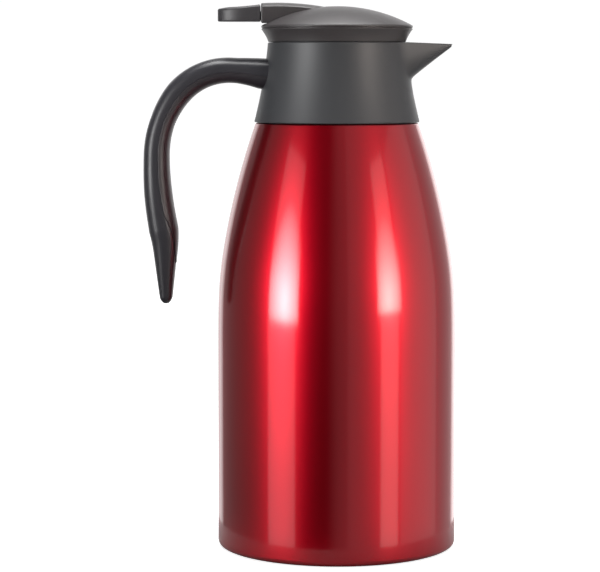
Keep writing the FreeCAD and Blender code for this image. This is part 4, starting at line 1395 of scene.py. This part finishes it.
@dataclass
class Valve:
    """The valve's stem, seal and cap, and the spring that closes it."""

    shop: Workshop
    coil_radius: float = 5.6
    wire: float = 0.5
    turns: float = 6.0
    seat: float = 250.0
    stop: float = 272.2
    travel: float = 4.58

    def build(self) -> None:
        """Winds the spring and dresses the stem's pieces."""
        bottom, top = self.seat + self.wire, self.stop - self.wire
        spring = object_from("closing_spring", bpy.data.meshes.new("closing_spring"))
        values = {
            "Turns": self.turns,
            "Radius": self.coil_radius * MM,
            "Wire": self.wire * MM,
            "Length": (top - bottom) * MM,
            "Bottom": bottom * MM,
            "Finish": self.shop.palette.material("wire"),
        }
        self.shop.coils.run(spring, values)
        close_up(spring)
        self.shop.fit(spring, Body.LID, "wire", "valve_spring")
        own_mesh(spring)
        self.shop.dress(
            {"valve_stem": "inner_plastic", "valve_seal": "silicone", "stem_cap": "inner_plastic"}
        )


# ------------------------------------------------------------------ studio


def hide_from(piece: bpy.types.Object, *rays: str) -> None:
    """Makes a piece invisible to these kinds of ray."""
    for ray in rays:
        setattr(piece, f"visible_{ray}", False)


def point(holder: bpy.types.Object, place: Point3, target: Point3) -> None:
    """Puts a lamp or a camera at a place and turns it to the target, in metres."""
    holder.location = place
    aim = Vector(target) - Vector(place)
    holder.rotation_euler = aim.to_track_quat("-Z", "Y").to_euler()


@dataclass(frozen=True)
class SoftBox:
    """A soft rectangular lamp that faces the carafe."""

    name: str
    azimuth: float
    height: float
    distance: float
    width: float
    tall: float
    power: float
    colour: Colour = (1.0, 1.0, 1.0)
    aim: float = 0.15
    spread: float = 180.0

    def light(self) -> None:
        """Hangs the lamp. Azimuth 0 is in front of the carafe and 90 on its spout's side."""
        lamp = bpy.data.lights.new(self.name, "AREA")
        lamp.shape = "RECTANGLE"
        lamp.size, lamp.size_y = self.width, self.tall
        lamp.energy = self.power
        lamp.color = self.colour
        lamp.spread = math.radians(self.spread)
        angle = math.radians(self.azimuth)
        x, y = self.distance * math.sin(angle), -self.distance * math.cos(angle)
        point(object_from(self.name, lamp), (x, y, self.height), (0, 0, self.aim))


@dataclass
class Studio:
    """The pale floor, the soft lamps, the room's light and the camera."""

    lens: float = 138.0
    camera_at: Point3 = (-0.02, -1.25, 0.2608)
    looking_at: Point3 = (-0.02, 0.0, 0.1421)
    dark_side: float = 0.015
    right_side: float = 0.24
    right_edge: float = 0.16
    left_side: float = 0.2
    behind: float = 1.1
    floor_glow: float = 0.85
    sheet_radius: float = 0.11
    boxes: tuple[SoftBox, ...] = (
        SoftBox("left_window", -52, 0.46, 1.1, 0.6, 0.8, 1.35, aim=0.46, spread=42),
        SoftBox("left_glow", -54, -0.05, 1.2, 0.6, 1.8, 1.5, aim=-0.05, spread=110),
        SoftBox("right_strip", 50, 0.44, 1.15, 0.5, 0.7, 0.62, (1.0, 0.9, 0.82), 0.44, 38),
        SoftBox("right_glow", 50, -0.05, 1.25, 0.4, 1.8, 1.3, (1.0, 0.86, 0.8), -0.05, 110),
        SoftBox("right_wall", 85, 0.2, 1.3, 1.1, 1.4, 0.9, (1.0, 0.93, 0.9), 0.2, 110),
        SoftBox("top_light", 180, 1.4, 0.1, 0.9, 0.9, 26),
        SoftBox("back_left", 212, 0.3, 1.4, 0.3, 1.4, 0.9),
        SoftBox("back_right", 150, 0.3, 1.4, 0.3, 1.4, 0.9),
    )

    def paper(
        self, name: str, outline: Sequence[Point2], height: float, tone: float, glow: float
    ) -> bpy.types.Object:
        """One flat sheet, which is no part of the carafe.

        Args:
            name: the sheet's name.
            outline: its corners in metres.
            height: how high it lies, in metres.
            tone: how much light it scatters, from 0 to 1.
            glow: how much light it adds.

        Returns:
            The sheet.
        """
        mesh = bpy.data.meshes.new(name)
        mesh.from_pydata([(x, y, height) for x, y in outline], [], [tuple(range(len(outline)))])
        sheet = object_from(name, mesh)
        maker = MaterialBuilder(name)
        pulp = maker.noise(30, 2)
        mesh.materials.append(
            maker.finish(
                {
                    "Base Color": maker.tint(pulp, (tone * 0.96,) * 3, (tone,) * 3),
                    "Roughness": 0.9,
                    "Specular IOR Level": 0.1,
                    "Emission Color": (1, 1, 1, 1),
                    "Emission Strength": glow,
                }
            )
        )
        return sheet

    def floor(self) -> None:
        """The pale floor, kept out of reflections, and the dim sheet that the foot reflects."""
        side = 12.0
        corners = [(-side, -side), (side, -side), (side, side), (-side, side)]
        ground = self.paper("studio_floor", corners, -0.0006, 0.92, self.floor_glow)
        hide_from(ground, "glossy", "diffuse", "shadow")
        sheet = self.paper("studio_sheet", circle(self.sheet_radius, 96), -0.0002, 0.3, 0.04)
        hide_from(sheet, "camera", "diffuse", "shadow")

    def room(self) -> None:
        """A white background that lights the carafe as a room with a dark front would."""
        world = bpy.data.worlds.new("studio_room")
        world.use_nodes = True
        builder = TreeBuilder(world.node_tree)
        seen = builder.take("ShaderNodeLightPath", output="Is Camera Ray")
        heading = builder.take("ShaderNodeTexCoord", output="Generated")
        right, away, _ = builder.parts(heading)
        light = self.dark_side + builder.step(right, -0.2, 0.06) * self.right_side
        light = light + builder.step(right, 0.15, 0.18) * self.right_edge
        light = light + builder.step(right * -1, 0.45, 0.8) * self.left_side
        light = light + builder.step(away, 0.78, 0.97) * self.behind
        strength = light + seen * (1.02 - light)
        values = {"Color": (1, 1, 1, 1), "Strength": strength}
        glow = builder.take("ShaderNodeBackground", values)
        builder.node("ShaderNodeOutputWorld", {"Surface": glow})
        bpy.context.scene.world = world

    def camera(self) -> None:
        """A long lens in front of the carafe, level with its collar."""
        data = bpy.data.cameras.new("studio_camera")
        data.lens = self.lens
        data.clip_end = 60
        holder = object_from("studio_camera", data)
        point(holder, self.camera_at, self.looking_at)
        bpy.context.scene.camera = holder

    def build(self) -> None:
        """Sets up everything round the carafe."""
        self.floor()
        self.room()
        self.camera()
        for box in self.boxes:
            box.light()
        bpy.context.scene.view_settings.view_transform = "Standard"


def main() -> None:
    """Builds the carafe piece by piece, then the studio."""
    logging.basicConfig(level=logging.INFO, format="%(name)s: %(message)s")
    shop = Workshop()
    collar, lid = Collar(shop), Lid(shop)
    handle, lever = Handle(shop, collar), Lever(shop, lid)
    for assembly in (Bottle(shop), collar, handle, lid, lever, Valve(shop)):
        assembly.build()
        LOG.info("%s done", type(assembly).__name__)
    Studio().build()


if __name__ == "__main__":
    main()
